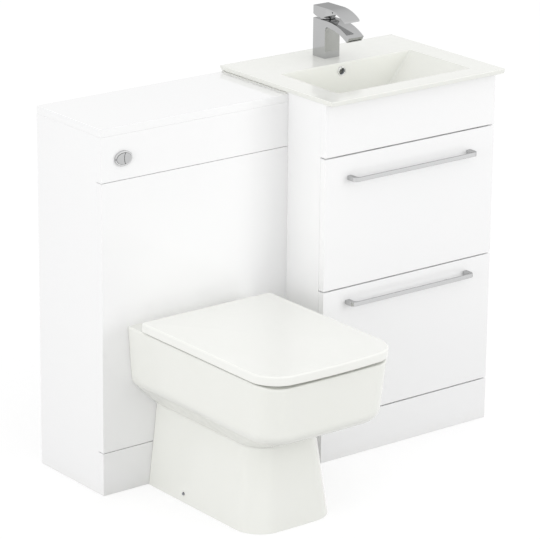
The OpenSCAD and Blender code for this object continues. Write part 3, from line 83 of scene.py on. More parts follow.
camera = {
    "spot": (-3498.34, -5296.41, 2551.4),
    "yaw": 38.02,
    "pitch": -18.28,
    "roll": 0.58,
    "lens": 202.82,
}


def setCamera():
    yaw, pitch, roll = (math.radians(camera[k]) for k in ("yaw", "pitch", "roll"))
    ahead = Vector((math.sin(yaw) * math.cos(pitch), math.cos(yaw) * math.cos(pitch), math.sin(pitch)))
    level = ahead.cross(Vector((0, 0, 1))).normalized()
    up = level.cross(ahead)
    right = math.cos(roll) * level + math.sin(roll) * up
    top = math.cos(roll) * up - math.sin(roll) * level
    data = bpy.data.cameras.new("studyCamera")
    data.lens = camera["lens"]
    data.sensor_width = 36
    data.clip_end = 60
    shot = addObject("studyCamera", data)
    turn = Matrix((right, top, -ahead)).transposed().to_4x4()
    shot.matrix_world = Matrix.Translation(place(*camera["spot"])) @ turn
    bpy.context.scene.camera = shot


studio = {
    "roomLight": 0.92,
    "floorShade": 0.3,  # share of the floor's own shading that the picture keeps
    "floorBounce": 0.55,
    "floorHalf": 9,  # metres
    "floorLevel": -0.0004,
    "softboxes": (
        # name, spot, aim, width, power
        ("overheadSoftbox", (300, -900, 3400), (450, -200, 600), 2.6, 1.5),
        ("frontSoftbox", (2400, -3400, 1300), (450, -200, 450), 2.0, 29),
        ("sideSoftbox", (-3300, -1300, 1100), (300, -300, 450), 2.0, 33),
    ),
}


def seenRays(tree):
    # 1 for what the camera, a reflection or a clear body sees, 0 for the light on the object
    rays = shaderNode(tree, "LightPath")
    total = rays.outputs["Is Camera Ray"]
    for name in ("Is Glossy Ray", "Is Transmission Ray"):
        either = shaderNode(tree, "Math")
        either.operation = "MAXIMUM"
        feed(tree, either.inputs[0], total)
        feed(tree, either.inputs[1], rays.outputs[name])
        total = either.outputs[0]
    return total


def splitRays(tree, output, lit, seen):
    # lit is what lights the object, seen is what shows
    mix, out = shaderNode(tree, "MixShader"), shaderNode(tree, output)
    for socket, value in zip(mix.inputs, (seenRays(tree), lit.outputs[0], seen.outputs[0])):
        feed(tree, socket, value)
    feed(tree, out.inputs[0], mix.outputs[0])


def grey(level):
    return (level, level, level, 1)


def setStudio():
    scene = bpy.context.scene
    scene.view_settings.view_transform = "Standard"
    world = bpy.data.worlds.new("paleRoom")
    world.use_nodes = True
    scene.world = world
    tree = world.node_tree
    tree.nodes.clear()
    lit = shaderNode(tree, "Background", Color=grey(1), Strength=studio["roomLight"])
    seen = shaderNode(tree, "Background", Color=grey(1), Strength=1)
    splitRays(tree, "OutputWorld", lit, seen)
    for name, spot, aim, width, power in studio["softboxes"]:
        data = bpy.data.lights.new(name, "AREA")
        data.shape = "SQUARE"
        data.size = width
        data.energy = power
        lamp = addObject(name, data)
        lamp.location = place(*spot)
        lamp.rotation_euler = (place(*aim) - lamp.location).to_track_quat("-Z", "Y").to_euler()
        lamp.visible_glossy = False
    setFloor()


def setFloor():
    half, level = studio["floorHalf"], studio["floorLevel"]
    mesh = bpy.data.meshes.new("studioFloor")
    corners = [(x * half, y * half, level) for x, y in ((-1, -1), (1, -1), (1, 1), (-1, 1))]
    mesh.from_pydata(corners, [], [(0, 1, 2, 3)])
    floor = addObject("studioFloor", mesh)
    material = bpy.data.materials.new("paperFloor")
    material.use_nodes = True
    tree = material.node_tree
    tree.nodes.clear()
    share = studio["floorShade"]
    paper = shaderNode(tree, "BsdfDiffuse", Color=grey(studio["floorBounce"]))
    glow = shaderNode(tree, "Emission", Color=grey(1), Strength=1 - share)
    dim = shaderNode(tree, "BsdfDiffuse", Color=grey(share * 1.12))
    both = shaderNode(tree, "AddShader")
    feed(tree, both.inputs[0], glow.outputs[0])
    feed(tree, both.inputs[1], dim.outputs[0])
    splitRays(tree, "OutputMaterial", paper, both)
    mesh.materials.append(material)


setCamera()
setStudio()
print("camera, light and floor are set")

# Shared effects as shader node groups


def newGroup(name, inputs, outputs):
    tree = bpy.data.node_groups.new(name, "ShaderNodeTree")
    for label, kind, value in inputs:
        socket = tree.interface.new_socket(label, in_out="INPUT", socket_type=kind)
        if value is not None:
            socket.default_value = value
    for label in outputs:
        tree.interface.new_socket(label, in_out="OUTPUT", socket_type="NodeSocketFloat")
    return tree, tree.nodes.new("NodeGroupInput"), tree.nodes.new("NodeGroupOutput")


def mathNode(tree, operation, a, b=None):
    node = shaderNode(tree, "Math")
    node.operation = operation
    feed(tree, node.inputs[0], a)
    if b is not None:
        feed(tree, node.inputs[1], b)
    return node.outputs[0]


def rangeNode(tree, value, low, high, outLow, outHigh):
    labels = ("Value", "From Min", "From Max", "To Min", "To Max")
    node = shaderNode(tree, "MapRange", **dict(zip(labels, (value, low, high, outLow, outHigh))))
    return node.outputs["Result"]


def noiseNode(tree, vector, scale, detail=2.0, rough=0.5, distortion=0.0):
    node = shaderNode(tree, "TexNoise", Vector=vector, Scale=scale, Detail=detail, Roughness=rough,
                      Distortion=distortion)
    return node.outputs["Fac"]


def stretched(tree, vector, scale, turn=(0, 0, 0)):
    return shaderNode(tree, "Mapping", Vector=vector, Rotation=turn, Scale=scale).outputs["Vector"]


vectorIn = ("Vector", "NodeSocketVector", None)


def makeSurfaceDrift():
    # slow and fine change over a surface, both from 0 to 1
    tree, source, sink = newGroup(
        "surfaceDrift",
        [vectorIn, ("Broad scale", "NodeSocketFloat", 3.0), ("Fine scale", "NodeSocketFloat", 60.0)],
        ["Broad", "Fine"],
    )
    for label, scale, detail in (("Broad", "Broad scale", 3.0), ("Fine", "Fine scale", 4.0)):
        noise = noiseNode(tree, source.outputs["Vector"], source.outputs[scale], detail, 0.55)
        tree.links.new(rangeNode(tree, noise, 0.3, 0.7, 0, 1), sink.inputs[label])
    return tree


def makeOrangePeel():
    # the small dimples of a lacquered or glazed skin over its slow waves
    tree, source, sink = newGroup(
        "orangePeel",
        [
            vectorIn,
            ("Peel scale", "NodeSocketFloat", 220.0),
            ("Wave scale", "NodeSocketFloat", 9.0),
            ("Wave share", "NodeSocketFloat", 0.5),
        ],
        ["Height"],
    )
    peel = noiseNode(tree, source.outputs["Vector"], source.outputs["Peel scale"], 1.0, 0.4)
    wave = noiseNode(tree, source.outputs["Vector"], source.outputs["Wave scale"], 1.0, 0.4)
    slow = mathNode(tree, "MULTIPLY", wave, source.outputs["Wave share"])
    keep = mathNode(tree, "SUBTRACT", 1.0, source.outputs["Wave share"])
    quick = mathNode(tree, "MULTIPLY", peel, keep)
    tree.links.new(mathNode(tree, "ADD", slow, quick), sink.inputs["Height"])
    return tree


def makeHairScratches():
    # thin polishing hairs in two directions, 1 on a hair
    tree, source, sink = newGroup(
        "hairScratches",
        [vectorIn, ("Scale", "NodeSocketFloat", 30.0), ("Width", "NodeSocketFloat", 0.012)],
        ["Mask"],
    )
    total = None
    for turn, stretch in (((0.3, 0.5, 0.2), (1, 9, 1)), ((-0.6, 0.2, 1.1), (8, 1, 1))):
        vector = stretched(tree, source.outputs["Vector"], stretch, turn)
        noise = noiseNode(tree, vector, source.outputs["Scale"], 2.0, 0.6, 0.3)
        off = mathNode(tree, "ABSOLUTE", mathNode(tree, "SUBTRACT", noise, 0.5))
        hair = rangeNode(tree, off, 0.0, source.outputs["Width"], 1.0, 0.0)
        total = hair if total is None else mathNode(tree, "MAXIMUM", total, hair)
    tree.links.new(total, sink.inputs["Mask"])
    return tree


def makeDrawnLines():
    # lines left by rolling or brushing along Y
    tree, source, sink = newGroup(
        "drawnLines",
        [vectorIn, ("Across scale", "NodeSocketFloat", 700.0)],
        ["Height", "Streak"],
    )
    fine = stretched(tree, source.outputs["Vector"], (1, 0.01, 1))
    broad = stretched(tree, source.outputs["Vector"], (0.12, 0.004, 0.12))
    tree.links.new(noiseNode(tree, fine, source.outputs["Across scale"], 3.0, 0.6), sink.inputs["Height"])
    streak = noiseNode(tree, broad, source.outputs["Across scale"], 2.0, 0.5)
    tree.links.new(rangeNode(tree, streak, 0.35, 0.65, 0, 1), sink.inputs["Streak"])
    return tree


def makeMouldGrain():
    # the fine leather-like grain of moulded plastic and pearl-finished boards
    tree, source, sink = newGroup(
        "mouldGrain",
        [vectorIn, ("Grain scale", "NodeSocketFloat", 900.0)],
        ["Height"],
    )
    cells = tree.nodes.new("ShaderNodeTexVoronoi")
    cells.feature = "SMOOTH_F1"
    tree.links.new(source.outputs["Vector"], cells.inputs["Vector"])
    tree.links.new(source.outputs["Grain scale"], cells.inputs["Scale"])
    soft = noiseNode(tree, source.outputs["Vector"], source.outputs["Grain scale"], 2.0, 0.6)
    tree.links.new(mathNode(tree, "ADD", cells.outputs["Distance"], soft), sink.inputs["Height"])
    return tree


def makeFloorDust():
    # grows from 0 at the given height to 1 at the floor, broken up by noise
    tree, source, sink = newGroup(
        "floorDust",
        [vectorIn, ("Reach", "NodeSocketFloat", 0.05)],
        ["Mask"],
    )
    split = tree.nodes.new("ShaderNodeSeparateXYZ")
    tree.links.new(source.outputs["Vector"], split.inputs[0])
    fall = rangeNode(tree, split.outputs["Z"], 0.0, source.outputs["Reach"], 1.0, 0.0)
    patchy = noiseNode(tree, source.outputs["Vector"], 26.0, 4.0, 0.6)
    spread = mathNode(tree, "MULTIPLY", fall, rangeNode(tree, patchy, 0.3, 0.75, 0.2, 1))
    tree.links.new(spread, sink.inputs["Mask"])
    return tree


groups = {
    "drift": makeSurfaceDrift(),
    "peel": makeOrangePeel(),
    "hairs": makeHairScratches(),
    "lines": makeDrawnLines(),
    "grain": makeMouldGrain(),
    "dust": makeFloorDust(),
}

# Materials


class Finish:
    # one material with its coordinates and shader at hand
    def __init__(self, name, metallic=0.0, coat=0.0, coatRoughness=0.03, specular=0.5):
        self.material = bpy.data.materials.new(name)
        self.material.use_nodes = True
        self.tree = self.material.node_tree
        self.shader = self.tree.nodes["Principled BSDF"]
        self.coordinates = self.tree.nodes.new("ShaderNodeTexCoord")
        for label, value in (
            ("Metallic", metallic),
            ("Coat Weight", coat),
            ("Coat Roughness", coatRoughness),
            ("Specular IOR Level", specular),
        ):
            self.shader.inputs[label].default_value = value

    @property
    def vector(self):
        return self.coordinates.outputs["Object"]

    def group(self, key, *values):
        # the values go to the group's inputs after the vector, in their order
        node = self.tree.nodes.new("ShaderNodeGroup")
        node.node_tree = groups[key]
        feed(self.tree, node.inputs["Vector"], self.vector)
        for socket, value in zip(node.inputs[1:], values):
            socket.default_value = value
        return node

    def blend(self, mask, first, second):
        mix = self.tree.nodes.new("ShaderNodeMix")
        mix.data_type = "RGBA"
        feed(self.tree, mix.inputs["Factor"], mask)
        for socket, colour in ((mix.inputs[6], first), (mix.inputs[7], second)):
            feed(self.tree, socket, (*colour, 1) if isinstance(colour, tuple) else colour)
        return mix.outputs[2]

    def colour(self, output):
        feed(self.tree, self.shader.inputs["Base Color"], output)

    def roughness(self, mask, low, high):
        feed(self.tree, self.shader.inputs["Roughness"], rangeNode(self.tree, mask, 0, 1, low, high))

    def skin(self, broad, fine, first, second, low, high):
        # the broad drift blends two colours, the fine one moves the roughness from low to high
        drift = self.group("drift", broad, fine)
        colour = self.blend(drift.outputs["Broad"], first, second)
        self.colour(colour)
        self.roughness(drift.outputs["Fine"], low, high)
        return colour

    def bump(self, height, strength, distance):
        node = shaderNode(self.tree, "Bump", Strength=strength, Distance=distance, Height=height)
        feed(self.tree, self.shader.inputs["Normal"], node.outputs["Normal"])

    def relief(self, key, values, strength, distance):
        self.bump(self.group(key, *values).outputs["Height"], strength, distance)


def glossBoard():
    # white high-gloss foil over board: near flat, with a faint skin and a little dust at the floor
    f = Finish("glossWhiteFoil", coat=1.0, coatRoughness=0.02, specular=0.25)
    pale = f.skin(2.2, 38.0, (0.94, 0.94, 0.941), (0.93, 0.931, 0.934), 0.07, 0.13)
    dust = f.group("dust", 0.03)
    f.colour(f.blend(mathNode(f.tree, "MULTIPLY", dust.outputs["Mask"], 0.35), pale, (0.84, 0.83, 0.8)))
    f.relief("peel", (340.0, 7.0, 0.8), 0.08, 0.0005)
    return f.material


def carcassBoard():
    # white melamine with a pearl grain
    f = Finish("pearlMelamine", specular=0.4)
    f.skin(3.0, 90.0, (0.87, 0.87, 0.875), (0.84, 0.842, 0.85), 0.4, 0.52)
    f.relief("grain", (1100.0,), 0.18, 0.00012)
    return f.material


def sanitaryGlaze():
    # vitreous china: clear glaze with slow waves over a white body
    f = Finish("sanitaryGlaze", coat=0.5, coatRoughness=0.03, specular=0.2)
    f.skin(4.5, 30.0, (0.885, 0.89, 0.85), (0.87, 0.877, 0.83), 0.18, 0.27)
    f.relief("peel", (160.0, 11.0, 0.85), 0.12, 0.001)
    return f.material


def seatResin():
    f = Finish("seatResin", coat=0.5, coatRoughness=0.05)
    f.skin(5.0, 55.0, (0.9, 0.905, 0.87), (0.888, 0.893, 0.855), 0.14, 0.22)
    f.relief("peel", (420.0, 14.0, 0.5), 0.12, 0.0005)
    return f.material


def chromeFinish(name, base, low, high, hairScale, edge=0.5):
    # edge: how much a flat view along the surface still reflects
    f = Finish(name, metallic=1.0)
    f.shader.inputs["Specular Tint"].default_value = grey(edge)
    drift = f.group("drift", 9.0, 120.0)
    hairs = f.group("hairs", hairScale, 0.01)
    f.colour(f.blend(drift.outputs["Broad"], base, tuple(v * 0.955 for v in base)))
    worn = mathNode(f.tree, "MAXIMUM", mathNode(f.tree, "MULTIPLY", drift.outputs["Fine"], 0.45),
                    mathNode(f.tree, "MULTIPLY", hairs.outputs["Mask"], 0.8))
    f.roughness(worn, low, high)
    f.relief("peel", (500.0, 40.0, 0.7), 0.08, 0.0003)
    return f.material


def runnerSteel():
    f = Finish("zincRunnerSteel", metallic=1.0)
    lines, drift = f.group("lines", 900.0), f.group("drift", 16.0, 300.0)
    f.colour(f.blend(lines.outputs["Streak"], (0.62, 0.63, 0.64), (0.52, 0.53, 0.545)))
    f.roughness(drift.outputs["Fine"], 0.26, 0.4)
    f.bump(lines.outputs["Height"], 0.25, 0.00006)
    return f.material


def mouldedPlastic(name, base, shade, low, high, grainScale, strength):
    f = Finish(name, specular=0.45)
    f.skin(8.0, 140.0, base, shade, low, high)
    f.relief("grain", (grainScale,), strength, 0.0001)
    return f.material


finishes = {
    "gloss": glossBoard(),
    "carcass": carcassBoard(),
    "glaze": sanitaryGlaze(),
    "resin": seatResin(),
    "chrome": chromeFinish("polishedChrome", (0.51, 0.513, 0.515), 0.05, 0.15, 30.0, 0.55),
    "satin": chromeFinish("satinChrome", (0.51, 0.513, 0.515), 0.14, 0.28, 60.0),
    "bezel": chromeFinish("bezelChrome", (0.64, 0.642, 0.644), 0.1, 0.2, 60.0, 0.7),
    "bar": chromeFinish("handleChrome", (0.6, 0.603, 0.605), 0.12, 0.24, 60.0, 0.55),
    # the overflow ring's chrome has a near-white base and edge, a painted highlight, so the ring renders bright
    # where it mirrors the dim bowl
    "ring": chromeFinish("ringChromePaintedBright", (0.93, 0.931, 0.932), 0.05, 0.14, 60.0, 0.95),
    "runner": runnerSteel(),
    "cistern": mouldedPlastic("cisternPlastic", (0.83, 0.83, 0.8), (0.79, 0.79, 0.755), 0.34, 0.46, 700.0, 0.2),
    "grey": mouldedPlastic("greyPlastic", (0.3, 0.31, 0.33), (0.26, 0.27, 0.29), 0.36, 0.5, 800.0, 0.25),
    "rubber": mouldedPlastic("bufferRubber", (0.035, 0.035, 0.038), (0.05, 0.05, 0.052), 0.55, 0.75, 1200.0, 0.4),
}
print("materials are made")

# Mesh helpers


def rework(mesh, sources, *steps):
    # mesh takes the sources' forms together, after the steps
    bm = bmesh.new()
    for source in sources:
        bm.from_mesh(source)
    for step in steps:
        step(bm)
    bm.to_mesh(mesh)
    bm.free()


def weld(distance):
    return lambda bm: bmesh.ops.remove_doubles(bm, verts=bm.verts, dist=distance)


def faceOut(bm):
    bmesh.ops.recalc_face_normals(bm, faces=bm.faces)


def meshObject(name, verts, faces):
    mesh = bpy.data.meshes.new(name)
    mesh.from_pydata([place(*v) for v in verts], [], faces)
    rework(mesh, [mesh], weld(1e-6), faceOut)
    return addObject(name, mesh)


def discard(pieces):
    for piece in pieces:
        mesh = piece.data
        bpy.data.objects.remove(piece)
        bpy.data.meshes.remove(mesh)


def bake(piece):
    # the piece's modifiers go into its mesh
    evaluated = piece.evaluated_get(bpy.context.evaluated_depsgraph_get())
    mesh = bpy.data.meshes.new_from_object(evaluated)
    old = piece.data
    piece.modifiers.clear()
    piece.data = mesh
    mesh.name = old.name
    bpy.data.meshes.remove(old)
    return piece


def combine(piece, others, operation):
    for other in others:
        step = piece.modifiers.new("combine", "BOOLEAN")
        step.operation = operation
        step.solver = "MANIFOLD"
        step.object = other
        bake(piece)
    discard(others)
    return piece


def soften(piece, edge, segments=3, angle=35):
    step = piece.modifiers.new("soften", "BEVEL")
    step.width = edge / 1000
    step.segments = segments
    step.limit_method = "ANGLE"
    step.angle_limit = math.radians(angle)
    step.use_clamp_overlap = True
    return bake(piece)


def settle(piece, body, finish, replaced=(), sharp=42):
    mesh = piece.data
    rework(mesh, [mesh], weld(2e-5), lambda bm: bmesh.ops.dissolve_degenerate(bm, edges=bm.edges, dist=2e-5))
    for name in ("custom_normal", "sharp_edge", "sharp_face"):
        if name in mesh.attributes:
            mesh.attributes.remove(mesh.attributes[name])
    mesh.shade_smooth()
    mesh.set_sharp_from_angle(angle=math.radians(sharp))
    step = piece.modifiers.new("evenNormals", "WEIGHTED_NORMAL")
    step.keep_sharp = True
    bake(piece)
    piece.data.materials.clear()
    piece.data.materials.append(finishes[finish])
    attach(piece, body)
    if replaced:
        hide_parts(*replaced)
    return piece


def join(name, parts):
    mesh = bpy.data.meshes.new(name)
    rework(mesh, [part.data for part in parts])
    discard(parts)
    return addObject(name, mesh)


def nodeCopy(name, nodeName):
    mesh = bpy.data.meshes.new(name)
    flatten = math.radians(0.5)
    rework(mesh, [nodes[nodeName].data], weld(1e-5),
           lambda bm: bmesh.ops.dissolve_limit(bm, angle_limit=flatten, verts=bm.verts, edges=bm.edges))
    return addObject(name, mesh)


def box(name, low, high):
    (x0, y0, z0), (x1, y1, z1) = low, high
    verts = [(x, y, z) for z in (z0, z1) for x, y in ((x0, y0), (x1, y0), (x1, y1), (x0, y1))]
    faces = [(3, 2, 1, 0), (4, 5, 6, 7)] + [(i, (i + 1) % 4, (i + 1) % 4 + 4, i + 4) for i in range(4)]
    return meshObject(name, verts, faces)


def turned(name, profile, axis, centre, segments=64):
    # profile: (radius, position along the axis), from one end to the other; centre is the other two coordinates
    rings, verts, faces = [], [], []
    for radius, along in profile:
        ring = []
        count = segments if radius > 1e-6 else 1
        for i in range(count):
            a = 2 * math.pi * i / segments
            u, v = centre[0] + radius * math.cos(a), centre[1] + radius * math.sin(a)
            ring.append(len(verts))
            verts.append({"X": (along, u, v), "Y": (u, along, v), "Z": (u, v, along)}[axis])
        rings.append(ring)
    for a, b in zip(rings, rings[1:]):
        for i in range(segments):
            j = (i + 1) % segments
            if len(a) == 1 and len(b) == 1:
                continue
            if len(a) == 1:
                faces.append((a[0], b[i], b[j]))
            elif len(b) == 1:
                faces.append((a[i], a[j], b[0]))
            else:
                faces.append((a[i], a[j], b[j], b[i]))
    if profile[0] != profile[-1]:
        faces += [tuple(ring) for ring in (rings[0], rings[-1]) if len(ring) > 1]
    return meshObject(name, verts, faces)


def rod(name, axis, centre, radius, start, end, segments=64):
    return turned(name, [(radius, start), (radius, end)], axis, centre, segments)


def arcPoints(cx, cy, radius, a0, a1, count):
    turn = [math.radians(a0 + (a1 - a0) * i / count) for i in range(count + 1)]
    return [(cx + radius * math.cos(a), cy + radius * math.sin(a)) for a in turn]


def eased(radius, angles):
    # steps of a quarter round: how far in and how far up at each angle
    turns = [math.radians(a) for a in angles]
    return [(radius * (1 - math.cos(a)), radius * math.sin(a)) for a in turns]


def between(a, b, count):
    # the points strictly between a and b
    return [(a[0] + (b[0] - a[0]) * i / count, a[1] + (b[1] - a[1]) * i / count) for i in range(1, count)]


def outline(cx, hw, back, front, rb, rf, bow=0.0, nBack=6, nFront=18, nSide=12, nEdge=20):
    # closed plan outline with rounded corners, starting on the right side at the back
    rb, rf = max(rb, 0.05), max(rf, 0.05)
    rightBack = arcPoints(hw - rb, back - rb, rb, 0, 90, nBack)
    leftBack = arcPoints(-hw + rb, back - rb, rb, 90, 180, nBack)
    leftFront = arcPoints(-hw + rf, front + rf, rf, 180, 270, nFront)
    rightFront = arcPoints(hw - rf, front + rf, rf, 270, 360, nFront)
    points = rightBack + between(rightBack[-1], leftBack[0], nEdge) + leftBack
    points += between(leftBack[-1], leftFront[0], nSide)
    bowed = leftFront + between(leftFront[-1], rightFront[0], nEdge) + rightFront
    points += [(x, y - bow * (1 - (x / hw) ** 2)) for x, y in bowed]
    points += between(rightFront[-1], rightBack[0], nSide)
    return [(cx + x, y) for x, y in points]


def toward(ring, centre, share):
    return [(x + (centre[0] - x) * share, y + (centre[1] - y) * share) for x, y in ring]


def lerpRing(a, b, share):
    return [(p[0] + (q[0] - p[0]) * share, p[1] + (q[1] - p[1]) * share) for p, q in zip(a, b)]


def stacked(name, rings, loop=False):
    # rings of points joined one to the next and closed at both ends, or into a ring when loop is set
    total, count = len(rings), len(rings[0])
    faces = []
    for k in range(total if loop else total - 1):
        a, b = k * count, (k + 1) % total * count
        faces += [(a + i, a + (i + 1) % count, b + (i + 1) % count, b + i) for i in range(count)]
    if not loop:
        faces.append(tuple(range(count))[::-1])
        faces.append(tuple((total - 1) * count + i for i in range(count)))
    return meshObject(name, [point for ring in rings for point in ring], faces)


def lofted(name, rings, loop=False):
    # rings: (outline, height or list of heights)
    count = len(rings[0][0])
    levels = [height if isinstance(height, list) else [height] * count for _, height in rings]
    return stacked(name, [[(x, y, z) for (x, y), z in zip(ring, heights)]
                          for (ring, _), heights in zip(rings, levels)], loop)


def roundCorner(a, b, c, d, count=6):
    # stations that round the corner b between a and c
    a, b, c = (Vector(v) for v in (a, b, c))
    p = b + (a - b) * min(0.5, d / (a - b).length)
    q = b + (c - b) * min(0.5, d / (c - b).length)
    steps = [i / count for i in range(count + 1)]
    return [tuple((1 - t) ** 2 * p + 2 * t * (1 - t) * b + t * t * q) for t in steps]


def smoothStations(stations, steps):
    # Catmull-Rom through the stations
    def curve(a, b, c, d, t):
        return 0.5 * (2 * b + (c - a) * t + (2 * a - 5 * b + 4 * c - d) * t * t
                      + (3 * b - a - 3 * c + d) * t ** 3)

    result = []
    for k in range(len(stations) - 1):
        p0, p1 = stations[max(k - 1, 0)], stations[k]
        p2, p3 = stations[k + 1], stations[min(k + 2, len(stations) - 1)]
        for i in range(steps):
            t = i / steps
            result.append(tuple(curve(*values, t) for values in zip(p0, p1, p2, p3)))
    result.append(tuple(stations[-1]))
    return result


def prism(name, points, axis, start, end):
    # outline drawn out along X (points are Y-Z) or along Y (points are X-Z)
    def point(at, u, v):
        return (at, u, v) if axis == "X" else (u, at, v)

    count = len(points)
    faces = [tuple(range(count)), tuple(range(2 * count - 1, count - 1, -1))]
    faces += [(i, i + count, (i + 1) % count + count, (i + 1) % count) for i in range(count)]
    return meshObject(name, [point(at, u, v) for at in (start, end) for u, v in points], faces)


# Boards of both units: the frame's own boards with eased edges

boards = {
    "frontEdge": 0.7,
    "innerEdge": 0.4,
    # the toilet unit's fixed panels close up to finer joints than the drawers: board, level, shift
    "joints": (
        ("toiletFrontPanel", 707.5, 1.2), ("toiletFrontPanel", 100, -0.7), ("toiletUpperStrip", 710.5, -0.8),
        ("toiletPlinth", 97, 0.7),
    ),
    "fronts": {
        "toiletSideLeft": "wc_side_left",
        "toiletSideRight": "wc_side_right",
        "toiletWorktop": "wc_worktop",
        "toiletUpperStrip": "wc_upper_strip",
        "toiletFrontPanel": "wc_front_panel",
        "toiletPlinth": "wc_plinth",
        "basinSideLeft": "vanity_side_left",
        "basinSideRight": "vanity_side_right",
        "basinFascia": "vanity_fascia",
        "basinPlinth": "vanity_plinth",
        "upperDrawerFront": "upper_drawer_front",
        "lowerDrawerFront": "lower_drawer_front",
    },
    "inner": {
        "toiletRails": "wc_rails",
        "basinFloor": "vanity_floor",
        "basinBackRails": "vanity_back_rails",
        "basinFrontRails": "vanity_front_rails",
        "upperDrawerBox": "upper_drawer_box",
        "upperDrawerBase": "upper_drawer_floor",
        "lowerDrawerBox": "lower_drawer_box",
        "lowerDrawerBase": "lower_drawer_floor",
    },
}


def bodyOf(nodeName):
    return next(b for b, names in frame["record"]["behaviour"]["bodies"].items() if nodeName in names)


def makeBoards():
    for key, slot, finish, edge in (("fronts", "gloss_board", "gloss", "frontEdge"),
                                    ("inner", "carcass_board", "carcass", "innerEdge")):
        for name, nodeName in boards[key].items():
            piece = nodeCopy(name, nodeName)
            for board, level, shift in boards["joints"]:
                if board == name:
                    for vertex in piece.data.vertices:
                        if abs(vertex.co.z - level / 1000) < 2e-4:
                            vertex.co.z += shift / 1000
            soften(piece, boards[edge], 3 if key == "fronts" else 2)
            settle(piece, bodyOf(nodeName), finish, [nodeName])


makeBoards()
print("boards are made")

# Basin: slab and square-cut bowl in one glazed form

basin = {
    "left": 494, "right": 996, "front": -400, "low": 832, "top": 843,
    "corner": 4, "edge": 1.6, "draft": 2.4, "lipEdge": 2.4,
    "bowlHalf": 191, "bowlBack": -142, "bowlFront": -348, "bowlDepth": 104, "wall": 8,
    "wallSlope": 0.12, "cornerTop": 5, "cornerLow": 14, "blend": 14,
    "overflow": (729, 824), "waste": (745, -245), "tapHole": (-72.5, 16),  # Y and radius
    "bead": ((496.2, -238, 827.8), (501, -3, 830.2)),
}


def makeBasin():
    b = basin
    mid = (b["left"] + b["right"]) / 2
    half = (b["right"] - b["left"]) / 2
    top, low = b["top"], b["low"]
    floor = top - b["bowlDepth"]

    def station(z, grow):
        d = top - z
        return (z, b["bowlHalf"] - d + grow * 1.2, b["bowlBack"] - d * b["wallSlope"] + grow,
                b["bowlFront"] + d * b["wallSlope"] - grow, b["cornerTop"] + grow)

    def moved(s, by):
        return tuple(a + c for a, c in zip(s, by))

    inward = (0, -b["blend"] * 2, -b["blend"] * 2, b["blend"] * 2, b["cornerLow"])
    lowS = station(floor, 0)
    inS = moved(lowS, inward)
    topS = station(top, 0)
    wall = [inS] + roundCorner(inS, lowS, topS, b["blend"], 8)
    last = wall[-1]
    lip = b["lipEdge"]
    bend = station(top - lip, 0)
    climb = [tuple(p + (q - p) * t for p, q in zip(last, bend)) for t in (0.25, 0.5, 0.75, 1.0)]
    stations = wall + climb
    rings = [(outline(mid, *s[1:], s[4], nBack=8, nFront=8), s[0]) for s in stations]
    floorRing = rings[0][0]
    centre = (mid, (b["bowlBack"] + b["bowlFront"]) / 2)
    rings = [(toward(floorRing, centre, t), floor) for t in (0.9, 0.5, 0.2)] + rings
    # rounded lip at the top of the bowl
    for out, up in eased(lip, (31.5, 63, 90)):
        _, lipHalf, back, front, corner = bend
        rings.append((outline(mid, lipHalf + out, back + out, front - out, corner + out, corner + out,
                              nBack=8, nFront=8), top - lip + up))
    lipRing = rings[-1][0]

    def slab(inset):
        c = max(b["corner"] - inset, 0.4)
        return outline(mid, half - inset, -inset, b["front"] + inset, 0.6, c, nBack=8, nFront=8)

    edge = b["edge"]
    rings += [(lerpRing(lipRing, slab(edge), t), top) for t in (0.03, 0.5, 0.97, 1.0)]
    rings += [(slab(edge - up), top - fall) for fall, up in eased(edge, (22.5, 45, 67.5, 90))]
    under = edge * 0.7
    rings += [(slab(b["draft"] + fall), low + under - up) for fall, up in eased(under, (0, 30, 60, 90))]
    # underside and the outer face of the bowl
    shellTop = station(low, b["wall"])
    shellLow = moved(station(floor, b["wall"]), (-b["wall"], 0, 0, 0, 0))
    shellIn = moved(shellLow, inward)
    outer = [shellTop] + roundCorner(shellTop, shellLow, shellIn, b["blend"], 8) + [shellIn]
    shellRing = outline(mid, *shellTop[1:], shellTop[4], nBack=8, nFront=8)
    rings += [(lerpRing(slab(b["draft"] + under), shellRing, t), low) for t in (0.03, 0.5, 0.97)]
    rings += [(outline(mid, *s[1:], s[4], nBack=8, nFront=8), s[0]) for s in outer]
    rings.append((toward(rings[-1][0], centre, 0.6), rings[-1][1]))
    bowl = lofted("glazedBasin", rings)

    ox, oz = b["overflow"]
    wallY = b["bowlBack"] - (top - oz) * b["wallSlope"]
    back = b["bowlBack"] + b["wall"] + 9
    channel = box("channel", (ox - 13, wallY - 0.5, floor + 10), (ox + 13, back, low + 1))
    soften(channel, 3)
    combine(bowl, [channel], "UNION")
    wx, wy = b["waste"]
    cuts = [
        rod("cutWaste", "Z", (wx, wy), 22.5, floor - 30, floor + 2),
        rod("cutOverflow", "Y", (ox, oz), 8, wallY - 8, b["bowlBack"] + b["wall"]),
        box("cutChannel", (ox - 8, b["bowlBack"] + b["wall"] - 2, floor + 16), (ox + 8, back - 4, oz)),
        rod("cutTap", "Z", (mid, b["tapHole"][0]), b["tapHole"][1], low - 2, top + 2),
    ]
    combine(bowl, cuts, "DIFFERENCE")
    settle(bowl, "furniture", "glaze", ["basin"], 46)
    # sealant between the toilet unit's worktop and the slab that laps over it
    bead = box("sealantBead", *b["bead"])
    soften(bead, 0.9, 3)
    settle(bead, "furniture", "cistern")


makeBasin()
print("basin is made")

# Toilet pan

